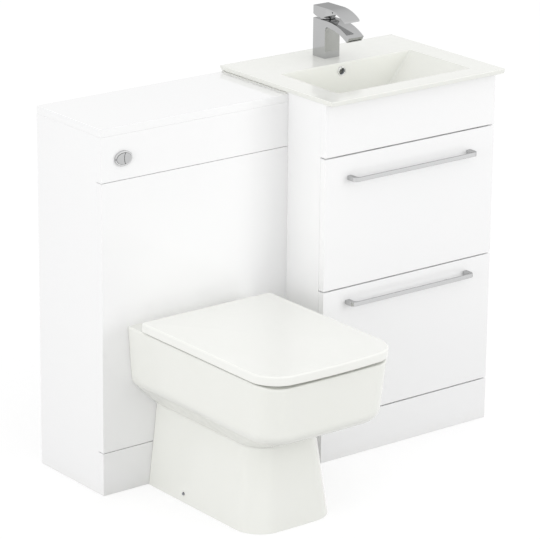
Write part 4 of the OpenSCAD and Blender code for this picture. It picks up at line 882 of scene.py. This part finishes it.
pan = {
    "middle": 235.5, "panel": -242, "bow": 4,
    # height, half width, reach from the panel, front corner radius
    "foot": (0, 116, 378, 60), "neck": (186, 94, 356, 52),
    "belly": (250, 160, 491, 58), "rim": (379, 170, 497, 54),
    "rimEdge": 6, "neckBlend": 5, "bellyBlend": 20, "wall": 12, "deck": 16, "backCorner": 4,
    "frontDrop": 4.5, "dropStart": 455, "dropEnd": 495,  # how far the rim falls away under the lid's front
    # height, half width, back and front from the panel, corner radius
    "bowl": (
        (95, 26, 200, 262, 26), (107, 36, 194, 274, 35), (160, 44, 200, 292, 44), (235, 78, 205, 372, 72),
        (329, 113, 120, 450, 84), (365, 118, 112, 456, 86), (379, 118, 112, 456, 86),
    ),
    "wayRadius": 26, "wayWall": 7, "wayBend": 34, "wayStart": 198, "seal": 50,
    "soilHeight": 185, "soilRadius": 51, "inletHeight": 335, "inletRadius": 27.5, "screw": (128, 19),
}


def wayPath(lead):
    # stations of the waterway in the pan's middle plane: y, z, heading
    p = pan
    bend, y0, z0 = p["wayBend"], p["panel"] - p["wayStart"], 95 + p["wayRadius"]
    rise = p["seal"] + 2 * p["wayRadius"] - 2 * bend
    crest = z0 + 2 * bend + rise
    tilt = math.degrees(math.acos(1 - (crest - p["soilHeight"]) / (2 * bend)))
    y1 = y0 + 2 * bend
    y2 = y1 + 2 * bend * math.sin(math.radians(tilt))

    def bendPath(cy, cz, a0, a1, count, skip=0):
        turn = 90 if a1 > a0 else -90
        angles = [a0 + (a1 - a0) * i / count for i in range(skip, count + 1)]
        return [(cy + bend * math.cos(math.radians(a)), cz + bend * math.sin(math.radians(a)), a + turn)
                for a in angles]

    path = [(y0 - lead, z0, 0)] + bendPath(y0, z0 + bend, -90, 0, 12)
    path += bendPath(y1, crest - bend, 180, 90 - tilt, 18)
    path += bendPath(y2, p["soilHeight"] + bend, -90 - tilt, -90, 9, 1)
    return path


def swept(name, path, radius, x, count=40):
    rings = []
    for y, z, heading in path:
        h = math.radians(heading)
        turns = [2 * math.pi * i / count for i in range(count)]
        rings.append([(x + radius * math.cos(t), y + radius * math.sin(t) * math.sin(h),
                       z - radius * math.sin(t) * math.cos(h)) for t in turns])
    return stacked(name, rings)


def makePan():
    p = pan
    mid, panel = p["middle"], p["panel"]
    foot, neck, belly, rim = p["foot"], p["neck"], p["belly"], p["rim"]
    e = p["rimEdge"]
    rimIn = (rim[0], rim[1] - 2 * e, rim[2] - 2 * e, rim[3] - e)

    def steps(a, b, count):
        return [tuple(u + (v - u) * i / count for u, v in zip(a, b)) for i in range(1, count)]

    crease = roundCorner(foot, neck, belly, p["neckBlend"], 8)
    bulge = roundCorner(neck, belly, rim, p["bellyBlend"], 10)
    brim = roundCorner(belly, rim, rimIn, e, 8)
    stations = [foot, tuple(a + (b - a) * 0.02 for a, b in zip(foot, neck))]
    stations += steps(stations[-1], crease[0], 8) + crease + steps(crease[-1], bulge[0], 8) + bulge
    stations += steps(bulge[-1], brim[0], 6) + brim

    def ring(s, back=panel):
        return outline(mid, s[1], back, panel - s[2], p["backCorner"], s[3], p["bow"])

    def bowlRing(s, grow=0.0):
        return outline(mid, s[1] + grow, panel - s[2] + grow, panel - s[3] - grow, s[4] + grow, s[4] + grow)

    def sunk(entry):
        # the entry's heights with the fall of the front rim
        outlinePoints, level = entry
        fade = min(1, max(0, (level - 325) / 45))
        heights = []
        for x, y in outlinePoints:
            t = min(1, max(0, (panel - y - p["dropStart"]) / (p["dropEnd"] - p["dropStart"])))
            heights.append(level - p["frontDrop"] * fade * t * t * (3 - 2 * t))
        return outlinePoints, heights

    bowl = smoothStations(p["bowl"], 6)
    inner = [(bowlRing(s), s[0]) for s in bowl if s[0] < rim[0] - 4.5]
    sump = inner[0][0]
    well = (mid, panel - 231)
    inner = [(toward(sump, well, t), p["bowl"][0][0]) for t in (0.85, 0.4)] + inner
    lip = p["bowl"][-1]
    inner += [(bowlRing(lip, out), rim[0] - 4 + up) for out, up in eased(4, (0, 25, 50, 70, 90))]
    outerTop = ring(rimIn)
    deck = [(lerpRing(inner[-1][0], outerTop, t), rim[0]) for t in (0.04, 0.35, 0.7, 0.97)]
    skin = [(ring(s), s[0]) for s in reversed(stations)]
    t = p["wall"]
    levels = (0, neck[0] + t / 2, belly[0] + t / 2, rim[0] - p["deck"])
    hollow = [(z, *(v - t for v in s[1:])) for z, s in zip(levels, (foot, neck, belly, rim))]
    inside = [(ring(s, panel - 1.5), s[0]) for s in hollow]
    grown = [(bowlRing(s, t - 3), s[0]) for s in reversed(bowl) if s[0] < rim[0] - p["deck"] - 2]
    ceiling = [(lerpRing(inside[-1][0], grown[0][0], s), rim[0] - p["deck"]) for s in (0.4, 0.98)]
    lowest = [(toward(grown[-1][0], well, s), p["bowl"][0][0] - 9) for s in (0.02, 0.6)]
    body = lofted("glazedPan", [sunk(e) for e in inner + deck + skin] + inside + ceiling + grown + lowest)

    wayEnd = wayPath(0)[-1][0]
    grow = [
        swept("wayOuter", wayPath(p["wayRadius"]), p["wayRadius"] + p["wayWall"], mid),
        rod("spigot", "Y", (mid, p["soilHeight"]), p["soilRadius"], wayEnd - p["wayWall"], panel - 4),
        rod("inlet", "Y", (mid, p["inletHeight"]), p["inletRadius"] + t / 2, panel - 114, panel),
    ]
    combine(body, grow, "UNION")
    fy, fz = p["screw"]
    cuts = [
        swept("wayInner", wayPath(p["wayRadius"]), p["wayRadius"], mid),
        rod("spigotBore", "Y", (mid, p["soilHeight"]), p["soilRadius"] - p["wayWall"], wayEnd - 1, panel + 1),
        rod("inletSocket", "Y", (mid, p["inletHeight"]), p["inletRadius"], panel - 30, panel + 1),
        rod("inletBore", "Y", (mid, p["inletHeight"]), 18, panel - 132, panel),
    ]
    for s in (-1, 1):
        cuts.append(rod("boltHole", "Z", (mid + s * 77.5, panel - 65.5), 5, rim[0] - 32, rim[0] + 1))
        ends = sorted((mid + s * 96, mid + s * 136))
        cuts.append(rod("screwHole", "X", (panel - fy, fz), 4, *ends))
    combine(body, cuts, "DIFFERENCE")
    settle(body, "furniture", "glaze", ["pan"], 48)


makePan()
print("pan is made")

# Seat and lid

seatAndLid = {
    "middle": 235.5, "panel": -242, "bow": 11,
    "lidHalf": 174.5, "lidBack": 55, "lidReach": 499, "lidLow": 383.4, "lidTop": 405, "topThick": 6, "skirt": 4.5,
    "frontCorner": 60, "backCorner": 8, "edge": 4, "crown": 1.3,
    "seatInset": 6, "seatLow": 383.5, "seatThick": 13, "ringHalf": 115, "ringBack": 124, "ringFront": 448,
    "hingeX": 77.5, "hingeY": -307.5, "hingeZ": 393.5, "post": 16, "knuckle": 12, "knuckleGap": 0.5,
    "knuckleRadius": 5.2, "pinRadius": 3.06,
}


def postReach():
    # from a post's middle to the far end of the knuckle beside it
    q = seatAndLid
    return q["post"] / 2 + q["knuckleGap"] + q["knuckle"]


def addKnuckles(piece, profile, outerOnes):
    # knuckles of one section beside both posts, on their outer or inner sides, bored for the pins
    q = seatAndLid
    near = q["post"] / 2 + q["knuckleGap"]
    starts = [q["middle"] + s * q["hingeX"] + (near if (s > 0) == outerOnes else -postReach()) for s in (-1, 1)]
    combine(piece, [prism("knuckle", profile, "X", x, x + q["knuckle"]) for x in starts], "UNION")
    bores = [rod("bore", "X", (q["hingeY"], q["hingeZ"]), q["pinRadius"], x - 1, x + q["knuckle"] + 1, 32)
             for x in starts]
    combine(piece, bores, "DIFFERENCE")


def makeLid():
    q = seatAndLid
    mid, panel = q["middle"], q["panel"]

    def ring(inset):
        return outline(mid, q["lidHalf"] - inset, panel - q["lidBack"] - inset, panel - q["lidReach"] + inset,
                       max(q["backCorner"] - inset, 1), q["frontCorner"] - inset, q["bow"])

    low, top, edge, skirt = q["lidLow"], q["lidTop"], q["edge"], q["skirt"]
    ceiling = top - q["topThick"]
    centre = (mid, panel - (q["lidBack"] + q["lidReach"]) / 2)
    inner = ring(skirt)
    crown = q["crown"]
    rings = [(toward(inner, centre, t), ceiling) for t in (0.9, 0.5, 0.05)]
    rings += [(inner, ceiling - 1), (inner, low + 1), (ring(skirt - 0.8), low), (ring(1.2), low),
              (ring(0.35), low + 0.5), (ring(0), low + 1.4)]
    rings += [(ring(fall), top - crown - edge + up) for fall, up in eased(edge, range(0, 91, 15))]
    for t in (0.03, 0.1, 0.2, 0.35, 0.55, 0.8, 0.95):
        rings.append((toward(ring(edge), centre, t), top - crown * (1 - t) ** 2.2))
    lid = lofted("wrapOverLid", rings)
    reach, backY = postReach(), panel - q["lidBack"]
    cuts = [box("postGap", (mid + s * q["hingeX"] - reach, backY - skirt - 0.1, low - 1),
                (mid + s * q["hingeX"] + reach, backY + 1, ceiling - 0.2)) for s in (-1, 1)]
    combine(lid, cuts, "DIFFERENCE")
    y, z, r = q["hingeY"], q["hingeZ"], q["knuckleRadius"]
    roof = ceiling + 0.5
    barrel = [(y - r, roof), (y - r, z)] + arcPoints(y, z, r, 180, 360, 20)[1:-1] + [(y + r, z), (y + r, roof)]
    addKnuckles(lid, barrel, True)
    settle(lid, "toilet_lid", "resin", ["lid"], 46)


def makeSeat():
    q = seatAndLid
    mid, panel, inset = q["middle"], q["panel"], q["seatInset"]
    low, thick = q["seatLow"], q["seatThick"]
    top = low + thick

    def outer(by):
        back, front = panel - q["lidBack"] - inset - by, panel - q["lidReach"] + inset + by
        return outline(mid, q["lidHalf"] - inset - by, back, front, max(q["backCorner"] - inset - by, 1),
                       q["frontCorner"] - inset - by, q["bow"])

    def inner(by):
        back, front = panel - q["ringBack"] + by, panel - q["ringFront"] - by
        return outline(mid, q["ringHalf"] + by, back, front, 80 + by, 90 + by)

    rings = [(outer(1.5), low), (outer(0.4), low + 0.5), (outer(0), low + 1.5)]
    rings += [(outer(fall), top - 3 + up) for fall, up in eased(3, (0, 22, 45, 67, 90))]
    flat, lipTop = outer(3), inner(7)
    for t in (0.08, 0.25, 0.45, 0.65, 0.85, 1.0):
        rings.append((lerpRing(flat, lipTop, t), top - 1.6 * t ** 2))
    lip = zip(eased(7, (25, 50, 75, 90)), eased(5, (25, 50, 75, 90)))
    rings += [(inner(7 - across), top - 1.6 - drop) for (_, across), (drop, _) in lip]
    rings += [(inner(0), low + 1.5), (inner(1.5), low), (lerpRing(inner(1.5), outer(1.5), 0.5), low)]
    seat = lofted("toiletSeatRing", rings, True)
    reach, backY = postReach(), panel - q["lidBack"] - inset
    y, z, r = q["hingeY"], q["hingeZ"], q["knuckleRadius"]
    cuts = [box("postGap", (mid + s * q["hingeX"] - reach - 1, y - r - 2, low - 1),
                (mid + s * q["hingeX"] + reach + 1, backY + 1, top + 1)) for s in (-1, 1)]
    combine(seat, cuts, "DIFFERENCE")
    arm = [(y - r - 4, z + 2), (y - r - 4, z - 6), (y - 2, z - 6)] + arcPoints(y, z, r, 250, 450, 24)
    addKnuckles(seat, arm + [(y - 4, z + 2)], False)
    settle(seat, "toilet_seat", "resin", ["seat"], 46)


makeLid()
makeSeat()
print("seat and lid are made")

# Tap

tap = {
    "middle": 741.5, "half": 21.5, "axis": 743, "studX": 745,
    "back": -51, "depth": 43, "base": basin["top"], "height": 88.5,
    "spoutReach": 128.5, "spoutRadius": 143, "spoutFall": 24.5, "strip": 13.8, "archRadius": 8, "edge": 0.9,
    "mouthHalf": 17.5, "mouthHeight": 2.6, "mouthDepth": 14, "mouthDrop": 9.6,
    "leverReach": 112.5, "leverRadius": 101, "leverFall": 18.7, "blade": 3.5, "leverLow": 9.5, "leverBelly": 4.5,
    "leverTop": 29.3, "screwRise": 7.1,
}


def makeTapBody():
    t = tap
    top, front, back, base = t["base"] + t["height"], t["back"] - t["depth"], t["back"], t["base"]
    r, strip, arch = t["spoutRadius"], t["strip"], t["archRadius"]
    run = math.sqrt(r * r - (r - t["spoutFall"]) ** 2)
    cy, cz = back - t["spoutReach"] + run, top - r
    tip = math.degrees(math.atan2(r - t["spoutFall"], -run))
    inner = r - strip
    # the small arch touches the body's front and the strip's underside
    ay = front - arch
    az = cz + math.sqrt((inner - arch) ** 2 - (ay - cy) ** 2)
    meet = math.degrees(math.atan2(az - cz, ay - cy))
    profile = [(back, base), (back, top)] + arcPoints(cy, cz, r, 90, tip, 48)
    profile += arcPoints(cy, cz, inner, tip, meet, 40) + arcPoints(ay, az, arch, meet, 0, 14)[1:] + [(front, base)]
    x, half = t["middle"], t["half"]
    body = prism("tapBody", profile, "X", x - half, x + half)
    bore = rod("bore", "Z", (t["axis"], (front + back) / 2), 15, top - 24, top + 1)
    middle, reach = r - t["mouthDrop"], t["mouthHeight"] / 2
    turn = math.degrees(t["mouthDepth"] / middle)
    slot = arcPoints(cy, cz, middle + reach, tip + 2, tip - turn, 10)
    slot += arcPoints(cy, cz, middle - reach, tip - turn, tip + 2, 10)
    mouth = prism("mouth", slot, "X", x - t["mouthHalf"], x + t["mouthHalf"])
    combine(body, [bore, mouth], "DIFFERENCE")
    soften(body, t["edge"], 3, 40)
    mid, y, low = t["studX"], (front + back) / 2, basin["low"]
    studEnd = base - 45
    studProfile = [(0, base + 1), (4, base + 1), (4, studEnd + 1), (3.2, studEnd), (0, studEnd)]
    stud = turned("stud", studProfile, "Z", (mid, y + 9), 32)
    shoe = rod("shoe", "Z", (mid, y), 23, low - 3.3, low - 0.3)
    combine(shoe, [box("shoeCut", (mid - 24, y - 24, low - 6), (mid + 24, y + 2, low))], "DIFFERENCE")
    nutProfile = [(0, low - 11.3), (7.2, low - 11.3), (8, low - 10.6), (8, low - 3.9), (7.2, low - 3.2),
                  (0, low - 3.2)]
    nut = turned("nut", nutProfile, "Z", (mid, y + 9), 6)
    piece = join("tapBody", [body, stud, shoe, nut])
    settle(piece, "furniture", "chrome", ["tap_body"], 40)


def makeLever():
    t = tap
    top = t["base"] + t["height"]
    front, back = t["back"] - t["depth"], t["back"]
    leverTop, leverLow = top + t["leverTop"], top + t["leverLow"]
    r, fall, blade = t["leverRadius"], t["leverFall"], t["blade"]
    tipY = back - t["leverReach"]
    cy, cz = tipY + math.sqrt(r * r - (r - fall) ** 2), leverTop - r
    tipTurn = math.degrees(math.atan2(leverTop - fall - cz, tipY - cy))
    ri = r - blade
    inTurn = math.degrees(math.acos((tipY - cy) / ri))
    blockTurn = math.degrees(math.acos((front - cy) / ri))
    upper = [(back, leverTop)] + arcPoints(cy, cz, r, 90, tipTurn, 40)
    lower = arcPoints(cy, cz, ri, inTurn, blockTurn, 34)
    y = (front + back) / 2
    sag = t["leverLow"] - t["leverBelly"]
    reach = t["depth"] / 2
    bellyRadius = (reach * reach + sag * sag) / (2 * sag)
    spread = math.degrees(math.asin(reach / bellyRadius))
    belly = arcPoints(y, top + t["leverBelly"] + bellyRadius, bellyRadius, 270 - spread, 270 + spread, 18)
    profile = upper + lower + belly
    x, half, axis = t["middle"], t["half"], t["axis"]
    lever = prism("tapLever", profile, "X", x - half, x + half)
    # cup that flows from a round foot into the square block: share of the square, height over the body
    count, foot = 64, 19
    rings = []
    for share, rise in ((0, 1.2), (0, 3), (0, 4.7), (0.1, 6), (0.3, 7.6), (0.6, 9), (0.9, 10.2)):
        ring = []
        for i in range(count):
            turn = 2 * math.pi * i / count
            c, s = math.cos(turn), math.sin(turn)
            m = max(abs(c) / (half - 0.2), abs(s) / (t["depth"] / 2 - 0.2))
            ring.append((axis + foot * c + (x - axis + c / m - foot * c) * share,
                         y + foot * s + (s / m - foot * s) * share))
        rings.append((ring, top + rise))
    rings.append((rings[-1][0], top + 13))
    combine(lever, [lofted("cup", rings)], "UNION")
    pivotZ = top + 14.5
    lean = math.radians(20)
    hinge = (y + 2, top + 1.2)
    leanCut = [hinge] + [(hinge[0] + d * math.cos(lean), hinge[1] + d * math.sin(lean) + u)
                         for d, u in ((0, -38), (38, -38), (38, 0))]
    cuts = [
        rod("cupBore", "Z", (axis, y), 16, top - 1, top + 23.5),
        rod("pivotBore", "X", (y, pivotZ), 3.06, axis - 18, axis + 18, 32),
        rod("screwBore", "Y", (x, leverLow + t["screwRise"]), 2.5, front - 1, front + 6, 32),
        prism("leanCut", leanCut, "X", x - 30, x + 30),
    ]
    combine(lever, cuts, "DIFFERENCE")
    soften(lever, t["edge"], 3, 40)
    settle(lever, "lever", "chrome", ["tap_lever"], 40)


makeTapBody()
makeLever()
print("tap is made")

# Handles: a D-shaped outline, rounded at each corner by its own radius and raised to the bar's height

handle = {
    "middle": 741, "face": -374, "length": 358, "out": 28, "height": 10, "thick": 4, "edge": 0.8,
    "foot": 12, "outerRadius": 11, "innerRadius": 8,
    "levels": {"upperHandle": ("upper_handle", 657.5), "lowerHandle": ("lower_handle", 370.25)},
}


def handleTree():
    tree = bpy.data.node_groups.new("raisedOutline", "GeometryNodeTree")
    tree.interface.new_socket("Geometry", in_out="INPUT", socket_type="NodeSocketGeometry")
    for label, kind in (("Level", "Float"), ("Bar height", "Float"), ("Material", "Material")):
        tree.interface.new_socket(label, in_out="INPUT", socket_type="NodeSocket" + kind)
    tree.interface.new_socket("Geometry", in_out="OUTPUT", socket_type="NodeSocketGeometry")
    add, link = tree.nodes.new, tree.links.new
    source, sink = add("NodeGroupInput"), add("NodeGroupOutput")
    start, lift = add("ShaderNodeCombineXYZ"), add("ShaderNodeCombineXYZ")
    corner, bend, fill, raised, under, both, stand, real, paint = (
        add("GeometryNode" + kind) for kind in (
            "InputRadius", "FilletCurve", "FillCurve", "ExtrudeMesh", "FlipFaces", "JoinGeometry", "SetPosition",
            "RealizeInstances", "SetMaterial",
        )
    )
    bend.mode, fill.mode = "POLY", "NGONS"
    bend.inputs["Count"].default_value = 14
    raised.inputs["Individual"].default_value = False
    for sender, output, receiver, entry in (
        (source, "Geometry", bend, "Curve"), (corner, "Radius", bend, "Radius"), (bend, "Curve", fill, "Curve"),
        (source, "Bar height", lift, "Z"), (fill, "Mesh", raised, "Mesh"), (lift, "Vector", raised, "Offset"),
        (fill, "Mesh", under, "Mesh"), (raised, "Mesh", both, "Geometry"), (under, "Mesh", both, "Geometry"),
        (both, "Geometry", stand, "Geometry"), (source, "Level", start, "Z"), (start, "Vector", stand, "Offset"),
        (stand, "Geometry", real, "Geometry"), (real, "Geometry", paint, "Geometry"),
        (source, "Material", paint, "Material"), (paint, "Geometry", sink, "Geometry"),
    ):
        link(sender.outputs[output], receiver.inputs[entry])
    return tree


def runTree(name, tree, values, curve):
    # the geometry-nodes tree run on a curve, kept as a plain mesh
    seed = addObject(name + "Seed", curve)
    step = seed.modifiers.new("shape", "NODES")
    step.node_group = tree
    for item in tree.interface.items_tree:
        if item.in_out == "INPUT" and item.name in values:
            step[item.identifier] = values[item.name]
    evaluated = seed.evaluated_get(bpy.context.evaluated_depsgraph_get())
    mesh = bpy.data.meshes.new_from_object(evaluated)
    mesh.name = name
    bpy.data.objects.remove(seed)
    rework(mesh, [mesh], weld(1e-6), faceOut)
    return addObject(name, mesh)


def makeHandles():
    tree = handleTree()
    h = handle
    for name, (nodeName, level) in h["levels"].items():
        path = bpy.data.curves.new(name + "Path", "CURVE")
        path.dimensions = "3D"
        line = path.splines.new("POLY")
        line.use_cyclic_u = True
        half, foot, face = h["length"] / 2, h["foot"], h["face"]
        out = face - h["out"]
        # corner by corner: x from the middle, y, rounding
        wide, narrow, inside = h["outerRadius"], h["innerRadius"], out + h["thick"]
        corners = [(-half, face, 0), (-half, out, wide), (half, out, wide), (half, face, 0), (half - foot, face, 0),
                   (half - foot, inside, narrow), (foot - half, inside, narrow), (foot - half, face, 0)]
        line.points.add(len(corners) - 1)
        for point, (x, y, radius) in zip(line.points, corners):
            point.co = (*place(h["middle"] + x, y, 0), 1)
            point.radius = radius / 1000
        low = level - h["height"] / 2
        values = {"Level": low / 1000, "Bar height": h["height"] / 1000, "Material": finishes["bar"]}
        piece = runTree(name, tree, values, path)
        soften(piece, h["edge"], 3)
        settle(piece, bodyOf(nodeName), "bar", [nodeName], 40)


makeHandles()
print("handles are made")

# Flush button

button = {
    "middle": (56, 757.5), "panel": -242, "proud": 5, "halfWidth": 22, "halfHeight": 17,
    "rimSide": 2.6, "rimTop": 4.2,
    "floor": 1, "gap": 0.3, "splitGap": 1, "crown": 1, "splitX": 1, "splitRadius": 30, "travel": 3, "stemHalf": 9,
    "neck": 15, "wall": 1.5, "notch": 1.3, "mark": 2.0,
}


def oval(rx, rz, count=96, middle=(0, 0)):
    x, z = middle
    turns = [2 * math.pi * i / count for i in range(count)]
    return [(x + rx * math.cos(a), z + rz * math.sin(a)) for a in turns]


def makeBezel():
    b = button
    face, panel = b["panel"] - b["proud"], b["panel"]
    rx, rz, rims = b["halfWidth"], b["halfHeight"], (b["rimSide"], b["rimTop"])
    # each step: the inset at the sides and at the top, and the depth
    steps = [(0, 0, panel), (0, 0, face + 1.2)]
    steps += [(fall, fall, face + 1.2 - up) for fall, up in eased(1.2, (30, 60, 90))]
    steps += [(*(rim - 0.5 + up for rim in rims), face + fall) for fall, up in eased(0.5, (30, 60, 90))]
    steps += [(*rims, panel - b["floor"])]
    hole = b["neck"] - b["wall"] - 0.8
    ovals = [(rx - i, rz - j, y) for i, j, y in steps]
    ovals += [(hole, hole, panel - b["floor"]), (hole, hole, panel)]
    rings = [[(x, y, z) for x, z in oval(u, v, middle=b["middle"])] for u, v, y in ovals]
    piece = stacked("buttonBezel", rings, True)
    notch = rod("notch", "Y", (b["middle"][0] - rx, b["middle"][1]), b["mark"], face - 1, face + 3, 32)
    combine(piece, [notch], "DIFFERENCE")
    settle(piece, "furniture", "bezel", ["button_bezel"], 40)


def capOutline(side):
    # half of the oval beside the curved split, with its two sharp corners cut back
    b = button
    rx, rz = b["halfWidth"] - b["rimSide"] - b["gap"], b["halfHeight"] - b["rimTop"] - b["gap"]
    radius = b["splitRadius"] + (0 if side > 0 else b["splitGap"])
    cx = b["splitX"] + b["splitRadius"]
    keep = [p for p in oval(rx, rz, 180) if (math.hypot(p[0] - cx, p[1]) < radius) == (side > 0)]
    turn = math.degrees(math.asin(min(1, rz * 0.985 / radius)))
    split = arcPoints(cx, 0, radius, 180 + turn, 180 - turn, 24)
    inside = [p for p in split if (p[0] / rx) ** 2 + (p[1] / rz) ** 2 < 0.93]
    n = b["notch"]
    ring = [p for p in keep if all(math.hypot(p[0] - q[0], p[1] - q[1]) > n for q in (split[0], split[-1]))]
    both = ring + inside
    mx, mz = sum(p[0] for p in both) / len(both), sum(p[1] for p in both) / len(both)
    both.sort(key=lambda p: math.atan2(p[1] - mz, p[0] - mx))
    x, z = b["middle"]
    return [(x + p[0], z + p[1]) for p in both]


def makeCaps():
    b = button
    face, panel = b["panel"] - b["proud"], b["panel"]
    back = panel - b["floor"] - b["travel"] - 0.01
    x, z = b["middle"]
    for side, name, body, nodeName in ((-1, "fullFlushCap", "full_button", "full_flush_button"),
                                       (1, "halfFlushCap", "half_button", "half_flush_button")):
        cap = prism(name, capOutline(side), "Y", face - b["crown"], back)
        soften(cap, 0.45, 3, 30)
        stem = prism("stem", capOutline(side), "Y", back - 0.2, panel + 3)
        reach = b["stemHalf"]
        limits = [rod("limit", "Y", (x, z), b["neck"] - b["wall"] - b["gap"], back - 1, panel + 4),
                  box("limitBox", (x - reach, back - 1, z - 30), (x + reach, panel + 4, z + 30))]
        combine(stem, limits, "INTERSECT")
        piece = join(name, [cap, stem])
        settle(piece, body, "satin", [nodeName], 40)


makeBezel()
makeCaps()
print("flush button is made")

# Overflow ring, waste and plug

fittings = {
    "overflow": basin["overflow"], "overflowY": -144.28, "ringRadius": 11.6, "ringHole": 7.6,
    "ringLean": math.atan(basin["wallSlope"]),
    "waste": basin["waste"], "floor": basin["top"] - basin["bowlDepth"], "flangeRadius": 32, "plugRadius": 30,
    "boreRadius": 18, "tailRadius": 21, "tail": 60,
}


def ringProfile(inner, outer, low, high, edge):
    # closed ring section with eased edges
    def turn(cx, cy, a0):
        return arcPoints(cx, cy, edge, a0, a0 + 90, 3)

    return (turn(outer - edge, high - edge, 0) + turn(inner + edge, high - edge, 90)
            + turn(inner + edge, low + edge, 180) + turn(outer - edge, low + edge, 270))


def turnedRing(name, section, axis, centre, segments=96):
    return turned(name, section + [section[0]], axis, centre, segments)


def makeFittings():
    f = fittings
    y = f["overflowY"]
    section = ringProfile(f["ringHole"], f["ringRadius"], y - 3, y - 0.2, 1.38)
    ring = turnedRing("ring", section, "Y", f["overflow"])
    pivot = place(f["overflow"][0], y, f["overflow"][1])
    lean = Matrix.Translation(pivot) @ Matrix.Rotation(f["ringLean"], 4, "X") @ Matrix.Translation(-pivot)
    ring.data.transform(lean)
    # a sleeve lines the overflow hole in dark grey plastic; its dark colour is partly painted shade, so the hole
    # reads dark
    section = ringProfile(f["ringHole"] - 0.6, 7.9, y - 0.6, y + 6, 0.2)
    sleeve = turnedRing("sleeve", section, "Y", f["overflow"])
    # the ring takes the near-white chrome: painted highlight
    settle(ring, "furniture", "ring", ["overflow_ring"], 40)
    ring.name = "overflowRing"
    settle(sleeve, "furniture", "grey", ["overflow_ring"], 40)
    sleeve.name = "overflowSleeve"

    floor = f["floor"]
    spot, bore, tailRadius = f["waste"], f["boreRadius"], f["tailRadius"]
    flange = turnedRing("flange", ringProfile(bore, f["flangeRadius"], floor + 0.1, floor + 2, 0.8), "Z", spot)
    low = floor - f["tail"]
    tailSection = [(bore, low + 0.3), (bore, floor + 1), (tailRadius, floor + 1)]
    z = floor - 8  # the thread starts here
    while z > low + 3:
        tailSection += [(tailRadius, z), (tailRadius - 0.8, z - 1)]
        z -= 2
    tail = turnedRing("tail", tailSection + [(tailRadius - 0.4, low + 0.3)], "Z", spot, 72)
    nutTop = floor - 8.3
    nut = turnedRing("nut", ringProfile(tailRadius, 32, nutTop - 10, nutTop, 0.9), "Z", spot, 8)
    hub = turnedRing("hub", ringProfile(5.06, 9, floor - 24, floor - 12, 0.4), "Z", spot, 40)
    parts = [flange, tail, nut, hub]
    wx, wy = spot
    for s in (-1, 1):
        near, far = sorted((s * 8, s * 18.5))
        parts.append(box("web", (wx + near, wy - 1.5, floor - 24), (wx + far, wy + 1.5, floor - 18)))
        parts.append(box("web", (wx - 1.5, wy + near, floor - 24), (wx + 1.5, wy + far, floor - 18)))
    settle(join("basinWaste", parts), "furniture", "chrome", ["waste_body"], 40)

    top = floor + 2.4
    r = f["plugRadius"]
    # share of the plug's radius and height of its crown, then the stem
    crown = ((0, 4), (0.4, 3.93), (0.7, 3.72), (0.86, 3.4), (0.95, 2.9), (0.99, 2.1))
    profile = [(r * share, top + rise) for share, rise in crown]
    profile += [(r, top + 1.2), (r - 0.4, top + 0.3), (r - 1.2, top), (7, top), (5.3, top - 1), (5, top - 2.5),
                (5, floor - 29), (4.2, floor - 30), (0, floor - 30)]
    plug = turned("basinPlug", profile, "Z", f["waste"], 96)
    settle(plug, "plug", "chrome", ["waste_plug"], 50)


makeFittings()
print("basin fittings are made")

# What the frame already shapes: a finish for each node, and eased edges where they catch light

keptNodes = {
    "eased": {
        "cisternTank": ("cistern_tank", "cistern_plastic", "cistern", 1.6),
        "cisternLid": ("cistern_lid", "cistern_plastic", "cistern", 1.0),
        "hingePosts": ("hinge_posts", "chrome_plate", "chrome", 0.5),
        "panBrackets": ("pan_brackets", "grey_plastic", "grey", 0.6),
    },
    "plain": {
        "button_housing": "cistern", "fill_valve": "grey", "fill_valve_float": "cistern",
        "flush_valve_body": "cistern", "full_flush_sleeve": "grey", "half_flush_float": "cistern",
        "flush_pipe": "cistern", "flush_cone": "rubber",
        "soil_connector": "cistern", "pan_screws": "runner", "pan_caps": "grey", "hinge_pins": "runner",
        "hinge_nuts": "cistern", "seat_buffers": "rubber", "lid_buffers": "rubber", "runner_rails": "runner",
        "upper_runner_members": "runner", "lower_runner_members": "runner", "upper_drawer_slides": "runner",
        "lower_drawer_slides": "runner", "bottle_trap": "cistern", "tap_cartridge": "chrome",
    },
}


def dressNodes():
    for name, (nodeName, slot, finish, edge) in keptNodes["eased"].items():
        piece = soften(nodeCopy(name, nodeName), edge, 2, 40)
        settle(piece, bodyOf(nodeName), finish, [nodeName])
    for nodeName, finish in keptNodes["plain"].items():
        mesh = nodes[nodeName].data
        mesh.materials.clear()
        mesh.materials.append(finishes[finish])


dressNodes()
print("inner parts are dressed")
